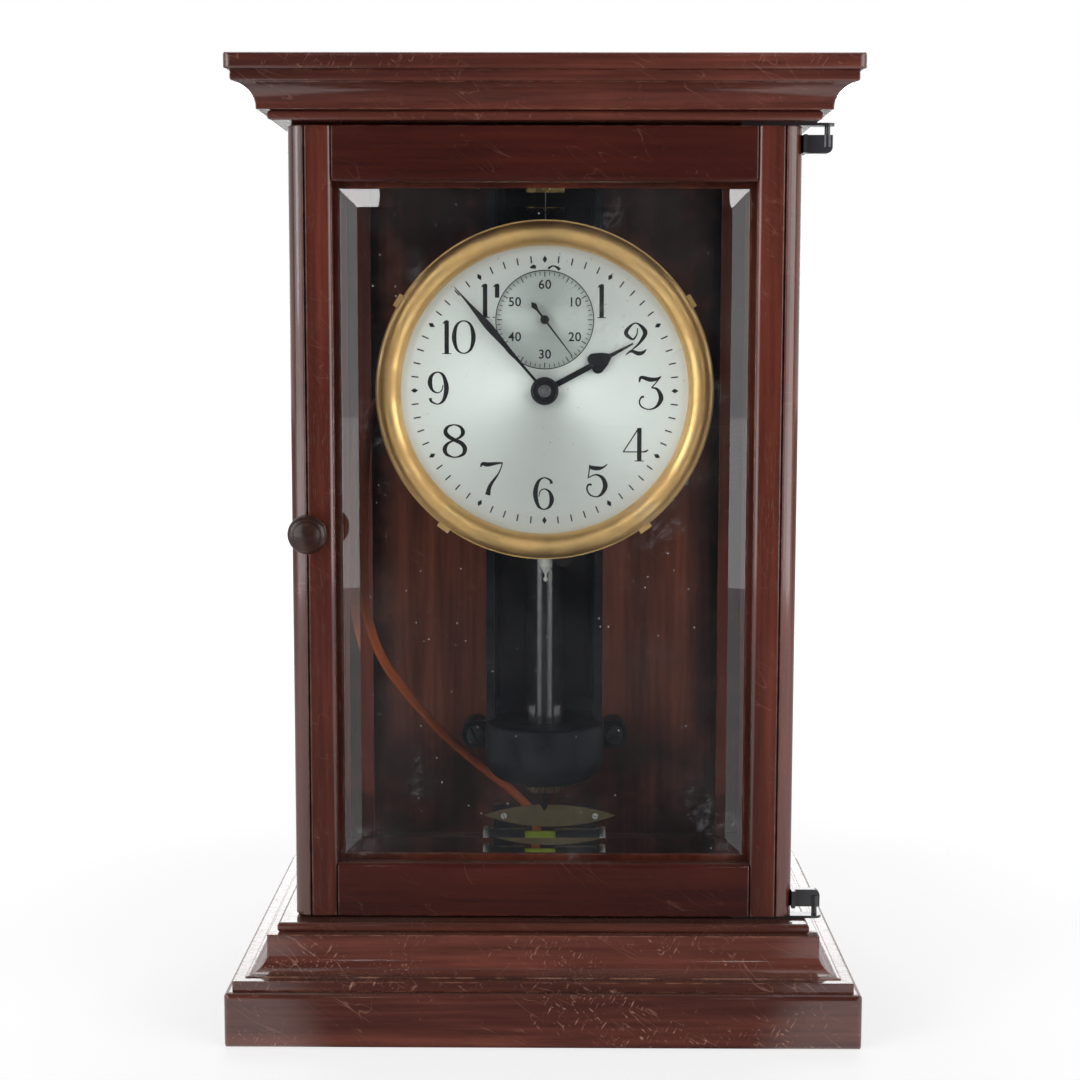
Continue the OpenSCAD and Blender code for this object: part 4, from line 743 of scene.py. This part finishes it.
# %% Place the figures round the dial
face_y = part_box("dial_plate")[0].y / MM
dial_mm = dial_centre_z / MM
seconds_mm = seconds_centre_z / MM
figure_places = [
    ("1", 25.4, 40.2), ("2", 40.7, 23.3), ("3", 48.1, -0.9), ("4", 41.0, -24.2), ("5", 23.7, -40.6),
    ("6", -0.4, -46.5), ("7", -23.9, -39.8), ("8", -40.6, -22.7), ("9", -48.0, 1.1),
    ("1", -44.2, 24.0), ("0", -36.4, 24.0), ("1", -26.9, 40.3), ("1", -21.5, 40.3),
    ("1", -5.1, 48.7), ("2", 3.7, 48.7),
]
hour_patches = []
for figure, x, z in figure_places:
    for points, closed in figures[figure]:
        moved = [(px + x, pz + z + dial_mm, half) for px, pz, half in points]
        hour_patches += pen_stroke(moved, closed)
seconds_open = 22.3
hour_patches = [patch for patch in hour_patches
                if min((p - Vector((0, seconds_mm))).length for p in patch) > seconds_open]
numerals = dress_as_ink(ink_piece("dial_numerals", hour_patches, face_y + INK_GAP))
print("numerals:", len(numerals.data.polygons), "faces")

# %% [markdown]
# ## The minute hand
# The CAD hand is a plain, rather broad blade. The real one is drawn like a figure's stroke, thin
# at the collet, fuller at two thirds and pointed, so the same pen draws it, along the line of the
# CAD hand and in its thickness, and the result stands in for that hand on the same arbor.

# %% A slimmer minute hand, as half widths in mm at distances from the hub
blade = [(0, 0.9), (8, 0.6), (18, 0.7), (28, 1.15), (36, 1.65), (41, 1.6), (46, 1.1), (53, 0.55)]
hub_place = Vector((0, dial_mm))
points_flat = [Vector((v.co.x, v.co.z)) / MM - hub_place for v in nodes["minute_hand"].data.vertices]
tip = max(points_flat, key=lambda point: point.length)
along = tip.normalized()
blade.append((tip.length, 0.14))
hand_line = [(*(hub_place + along * distance), half) for distance, half in blade]
boss_radius, boss_corners = 6, 48
turns = [2 * math.pi * i / boss_corners for i in range(boss_corners)]
boss = [hub_place + Vector((math.cos(turn), math.sin(turn))) * boss_radius for turn in turns]
hand_low, hand_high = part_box("minute_hand")
slim_hand = ink_piece("slim_minute_hand", pen_stroke(hand_line) + [boss], hand_high.y / MM,
                      (hand_high.y - hand_low.y) / MM)
dress(slim_hand, "hand_black", "centre_arbor")
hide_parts("minute_hand")
print("minute hand reaches", round(tip.length, 1), "mm,", len(slim_hand.data.polygons), "faces")

# %% Minute track: a tick modelled once, a lozenge at each hour
def ring_of_marks(name, make_mark, count, skip, centre_z_mm, y_mm):
    """Copies one upright mark round a centre and joins the copies."""
    first = make_mark()
    copies = []
    for i in range(count):
        if i in skip:
            continue
        copy = twin(first)
        turn_by = Matrix.Rotation(2 * math.pi * i / count, 4, "Y")
        copy.data.transform(Matrix.Translation((0, y_mm * MM, centre_z_mm * MM)) @ turn_by)
        copies.append(copy)
    bpy.data.objects.remove(first)
    return joined(copies, name)


def bar_mark(width, inner, outer, pointed=False):
    share = 0.5 if pointed else 1
    bevel = 0.28 if pointed else width * 0.3

    def make():
        bpy.ops.object.select_all(action="DESELECT")
        if pointed:
            bpy.ops.mesh.primitive_cylinder_add(vertices=4, radius=1, depth=1, rotation=(math.pi / 2, 0, 0))
        else:
            bpy.ops.mesh.primitive_cube_add(size=1)
        mark = bpy.context.object
        bpy.ops.object.transform_apply(location=False, rotation=True, scale=False)
        mark.scale = (width * MM * share, INK_THICK * MM, (outer - inner) * MM * share)
        mark.location = (0, -INK_THICK * MM / 2, (inner + outer) * MM / 2)
        bpy.ops.object.transform_apply(location=True, rotation=True, scale=True)
        start_editing()
        bpy.ops.mesh.bevel(offset=bevel * MM, segments=2, affect="EDGES", offset_type="WIDTH", clamp_overlap=True)
        bpy.ops.object.mode_set(mode="OBJECT")
        return mark
    return make


on_the_hour = range(0, 60, 5)
tick_ring = ring_of_marks("minute_ticks", bar_mark(0.6, 57.2, 60.4), 60, on_the_hour, dial_mm, face_y + INK_GAP)
hour_marks = ring_of_marks("hour_lozenges", bar_mark(2.1, 57.0, 60.4, True), 12, [], dial_mm, face_y + INK_GAP)
dress_as_ink(tick_ring)
dress_as_ink(hour_marks)
print("ticks:", len(tick_ring.data.polygons), "lozenges:", len(hour_marks.data.polygons))

# %% Seconds track
seconds_face_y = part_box("seconds_dial")[0].y / MM
ink_y = seconds_face_y + INK_GAP
dress_as_ink(ring_of_marks("seconds_ticks", bar_mark(0.3, 19.9, 21.5), 60, on_the_hour, seconds_mm, ink_y))
dress_as_ink(ring_of_marks("seconds_long_ticks", bar_mark(0.42, 19.2, 21.5), 12, [], seconds_mm, ink_y))


# %% Plain figures of the seconds dial
def typed_figures(name, places, height_mm, y_mm):
    figure_share, boldness_mm, sunk_mm = 0.7, 0.07, 0.03
    pieces = []
    for text, x, z in places:
        bpy.ops.object.select_all(action="DESELECT")
        bpy.ops.object.text_add()
        words = bpy.context.object
        words.data.body = text
        words.data.size = height_mm * MM / figure_share
        words.data.align_x = "CENTER"
        words.data.align_y = "CENTER"
        words.data.extrude = INK_THICK / 2 * MM
        words.data.offset = boldness_mm * MM
        words.data.space_character = 1.05
        bpy.ops.object.convert(target="MESH")
        words.rotation_euler = (math.pi / 2, 0, 0)
        words.location = (x * MM, (y_mm - sunk_mm) * MM, z * MM)
        bpy.ops.object.transform_apply(location=True, rotation=True, scale=True)
        pieces.append(words)
    words = joined(pieces, name)
    start_editing()
    bpy.ops.mesh.remove_doubles(threshold=0.001 * MM)
    end_editing()
    return words


seconds_ring = 15.6
seconds_words = []
for word, degrees in (("60", 0), ("10", 60), ("20", 120), ("30", 180), ("40", 240), ("50", 300)):
    angle = math.radians(degrees)
    seconds_words.append((word, seconds_ring * math.sin(angle), seconds_ring * math.cos(angle) + seconds_mm))
seconds_figures = dress_as_ink(typed_figures("seconds_numerals", seconds_words, 4.0, seconds_face_y))
print("seconds numerals:", len(seconds_figures.data.polygons), "faces")


# %% [markdown]
# ## Turned pieces
# Collets, washers, rings and screw heads are all turned on a lathe, so each is a short list of
# radius and depth. A circle is added at the first radius, and then extruded and resized from step
# to step, which is how one would turn it by hand in edit mode.

# %% A turned piece from its steps
def turned(name, steps, place_mm, count=48, toward="-Y"):
    """steps: (radius, distance from the start) in mm; the piece grows towards the given side.
    Where the last step comes back to the first, the piece is a ring with nothing in the middle."""
    start_fill = "NOTHING" if steps[0] == steps[-1] else "NGON"
    rotation = {"-Y": (math.pi / 2, 0, 0), "X": (0, math.pi / 2, 0)}[toward]
    ahead = {"-Y": Vector((0, -1, 0)), "X": Vector((1, 0, 0))}[toward]
    start = Vector(place_mm) * MM
    bpy.ops.object.select_all(action="DESELECT")
    bpy.ops.mesh.primitive_circle_add(vertices=count, radius=steps[0][0] * MM, fill_type=start_fill,
                                      location=start, rotation=rotation)
    piece = bpy.context.object
    piece.name = name
    bpy.ops.object.transform_apply(location=True, rotation=True, scale=True)
    start_editing()
    for (r0, d0), (r1, d1) in zip(steps, steps[1:]):
        bpy.ops.mesh.extrude_region_move(TRANSFORM_OT_translate={"value": ahead * (d1 - d0) * MM})
        factor = r1 / r0
        bpy.ops.transform.resize(value=(factor, factor, factor), center_override=start + ahead * d1 * MM)
    bpy.ops.mesh.select_all(action="SELECT")
    bpy.ops.mesh.remove_doubles(threshold=0.0005 * MM)
    end_editing()
    only(piece)
    bpy.ops.object.shade_smooth_by_angle(angle=math.radians(32))
    return piece


# %% Collets over the hands
minute_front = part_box("minute_hand")[0].y / MM
nut_rise = 1.5
hub = turned("hand_collet", [(6.3, 0), (6.3, 0.5), (6.0, 0.9), (4.9, 1.1), (4.5, 0.75), (3.9, 0.75), (3.6, 1.3),
                             (3.0, 1.8), (2.0, 2.1), (1.9, 1.9), (1.2, 1.9), (1.1, 2.4), (0.6, 2.6)],
             (0, minute_front, dial_mm))
dress(hub, "hand_black", "centre_arbor")
nut = turned("centre_nut", [(2.9, 0), (2.9, 0.6), (2.6, 0.85), (2.0, 0.9), (1.85, 0.7), (1.3, 0.7), (1.2, 1.1),
                            (0.6, 1.25)], (0, minute_front - nut_rise, dial_mm))
dress(nut, "plate_steel", "centre_arbor")
seconds_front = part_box("seconds_hand")[0].y / MM
seconds_hub = turned("seconds_collet", [(2.0, 0), (2.0, 0.4), (1.6, 0.8), (0.8, 0.9), (0.6, 0.7), (0.3, 0.7)],
                     (0, seconds_front, seconds_mm), 32)
dress(seconds_hub, "hand_black", "seconds_arbor")
print("fronts of the hands at y", [round(v, 2) for v in (minute_front, seconds_front)])

# %% [markdown]
# ## Screws and rings
# The photograph shows slotted screws on the suspension, the column's lugs, the bob and the beat
# plate, and two bright rings at the ends of the level. The CAD model has plain heads or bosses
# there, so each screw is a thin domed cap over them, with a slot through it. The cap is turned once
# and copied twice, each copy is bisected on its own side of the slot, and what lies below shows in
# the gap between the halves, as the bottom of a real slot does.

# %% Slotted screw caps
def slotted_cap(name, place_mm, radius, height, slot_mm, angle_deg, finish, body):
    """A domed head cut in two by its slot; it grows towards the front."""
    steps = [(radius, 0), (radius, height * 0.5), (radius * 0.94, height * 0.8), (radius * 0.8, height * 0.95),
             (radius * 0.5, height)]
    cap = turned(name, steps, place_mm, 32)
    middle = Vector(place_mm) * MM
    across = Vector((math.cos(math.radians(angle_deg)), 0, math.sin(math.radians(angle_deg))))
    halves = []
    for side in (-1, 1):
        half = twin(cap)
        only(half)
        start_editing()
        cut = middle + across * side * slot_mm / 2 * MM
        bpy.ops.mesh.bisect(plane_co=cut, plane_no=across * side, clear_inner=True, use_fill=True)
        end_editing()
        halves.append(half)
    bpy.data.objects.remove(cap)
    return dress(joined(halves, name), finish, body)


sunk_mm, pin_rise = 0.05, 3.4
block_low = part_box("suspension_block")[0] / MM
pin_mm = block_low.z + pin_rise
for name, x, z, sunk, radius, height, slot_mm, angle in (
        ("suspension_screw_left", -4.7, pin_mm + 3, sunk_mm, 2.1, 0.8, 0.5, 35),
        ("suspension_screw_right", 4.7, pin_mm + 3, sunk_mm, 2.1, 0.8, 0.5, 100),
        ("suspension_grub", 3, pin_mm - 1, 0.15, 1.4, 0.5, 0.35, 60)):
    place = (x, block_low.y + sunk, z)
    slotted_cap(name, place, radius, height, slot_mm, angle, "bright_brass", "case")
plate_low, plate_high = (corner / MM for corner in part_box("beat_plate"))
plate_mid = (plate_low.z + plate_high.z) / 2
for name, x, angle in (("beat_screw_left", -20, 20), ("beat_screw_right", 25, 75)):
    slotted_cap(name, (x, plate_low.y + sunk_mm, plate_mid), 1.5, 0.5, 0.4, angle, "nickel", "case")
lug_x, lug_face_y, low_lug_z, high_lug_z = 35, 48.25, 104, 378.4
for name, x, z, angle in (
        ("lug_screw_low_left", -lug_x, low_lug_z, 25), ("lug_screw_low_right", lug_x, low_lug_z, 110),
        ("lug_screw_high_left", -lug_x, high_lug_z, 80), ("lug_screw_high_right", lug_x, high_lug_z, 10)):
    slotted_cap(name, (x, lug_face_y, z), 4.3, 1.3, 0.9, angle, "black_steel", "case")
bob_front_y, bob_screw_z = -10.3, 108
slotted_cap("bob_screw", (0, bob_front_y, bob_screw_z), 2.5, 0.8, 0.6, 140, "black_steel", "bob_mass")
print("screws on the suspension at z", round(pin_mm + 3, 1), "and the beat plate at y", round(plate_low.y, 2))

# %% Rings at the ends of the level
body_foot, body_radius, vial_radius = 2.2, 6.5, 4
level_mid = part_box("level_body")[0].z / MM + body_foot + body_radius
level_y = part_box("level_vial")[0].y / MM + vial_radius
ring_steps = [(6.9, 0), (7.25, 0.15), (7.45, 0.6), (7.45, 2.0), (7.25, 2.6), (6.9, 2.8), (6.9, 0)]
for name, x in (("level_ring_left", -29.9), ("level_ring_right", 27.1)):
    dress(turned(name, ring_steps, (x, level_y, level_mid), 64, "X"), "bright_steel", "case")
print("level centre", round(level_y, 2), round(level_mid, 2))

# %% Dark line round the seconds dial, a flat ring
rim_steps = [(22.2, 0), (22.2, 0.12), (21.8, 0.12), (21.8, 0), (22.2, 0)]
dress_as_ink(turned("seconds_rim", rim_steps, (0, face_y, seconds_mm), 96))

# %% [markdown]
# ## The lead
# A cloth-covered wire runs from the terminals behind the dial, down the left of the case and into
# the base. It is fixed at both ends and shows no clip between them. Its line follows the stretch seen
# in the photograph, as chosen points and not as a simulation. The CAD solid has eight plain sides;
# here the same line carries a round tube, with the braid laid on by the tube's own UV map.

# %% Line of the lead: across, depth behind the back plate, height as a share of the dial's or in mm
floor_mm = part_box("floor_board")[1].z / MM
lead_shape = [
    (-66.5, -3, 0.987), (-71, -3, 0.987), (-76.5, -4, 0.979), (-80.5, -6, 0.952), (-82, -9, 0.909),
    (-83, -12, 0.844), (-83.5, -14, 0.775), (-83.7, -14, 0.706), (-83.8, -13, 0.637), (-83.5, -9, 0.567),
    (-81.5, 0, 0.503), (-77, 13, 0.433), (-70, 28, 0.369), (-61, 43, 0.304), (-50, 55, 0.239),
    (-38, 63, 0.183), (-26, 67.5, 0.135), (-14, 69.5, 0.09), (-6, 70, 0.048), (-4, 70, 0.005),
    (-4, 69, -7.8), (-4, 66.5, -17.5), (-5, 61, -25.5), (-6.5, 53.5, -30), (-7, 46, -30.7),
]
dial_rise = dial_mm - floor_mm
plate_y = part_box("back_plate")[0].y / MM
lead_line = [(x, plate_y + y, floor_mm + (z * dial_rise if z > 0 else z)) for x, y, z in lead_shape]
print("lead from", lead_line[0], "to", lead_line[-1])

# %% Round tube along the line, with its own UV map for the braid
lead_radius = 2.15
lead_curve = bpy.data.curves.new("cloth_lead", "CURVE")
lead_curve.dimensions = "3D"
lead_curve.bevel_depth = lead_radius * MM
lead_curve.bevel_resolution = 4
lead_curve.use_fill_caps = True
lead_curve.resolution_u = 6
thread = lead_curve.splines.new("BEZIER")
thread.bezier_points.add(len(lead_line) - 1)
for point, place in zip(thread.bezier_points, lead_line):
    point.co = Vector(place) * MM
    point.handle_left_type = "AUTO"
    point.handle_right_type = "AUTO"
lead = bpy.data.objects.new("cloth_lead", lead_curve)
bpy.context.scene.collection.objects.link(lead)
only(lead)
bpy.ops.object.convert(target="MESH")
lead = bpy.context.object
bpy.ops.object.shade_smooth()
print("lead mesh:", len(lead.data.polygons), "faces; maps", [m.name for m in lead.data.uv_layers])
length = sum((Vector(b) - Vector(a)).length for a, b in zip(lead_line, lead_line[1:]))
print("lead length, mm:", round(length, 1))


# %% Braided cotton
def braided(name, light, dark):
    material, shader = start_finish(name, light, 0.85)
    shader.inputs["Specular IOR Level"].default_value = 0.1
    run = split(put("TexCoord").outputs["UV"])
    crossings, threads = 210, 6
    along = times(run["X"], crossings * 2 * math.pi)
    around = times(run["Y"], threads * 2 * math.pi)
    left_turning = maths("SINE", plus(along, around))
    right_turning = maths("SINE", maths("SUBTRACT", along, around))
    weave = ramp(times(left_turning, right_turning), -0.7, 0.7)
    dirt = ramp(noise(millimetres(), 0.08, 4), 0.4, 0.7)
    colour = mix(weave, dark, light)
    colour = mix(times(dirt, 0.35), colour, dark)
    # Painted shade: from 0.15 m to 0.19 m up, the lead darkens towards near-black, on its upper run beside and behind
    # the dial.
    painted_shade_high = times(ramp(split(here())["Z"], 0.15, 0.19), 0.85)
    colour = mix(painted_shade_high, colour, (0.035, 0.012, 0.008))
    join(colour, shader, "Base Color")
    join(relief(weave, 0.12), shader, "Normal")
    return material


finishes["lead_cloth"] = braided("lead_cloth", (0.50, 0.105, 0.022), (0.20, 0.038, 0.01))
dress(lead, "lead_cloth", "case")
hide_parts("lead")
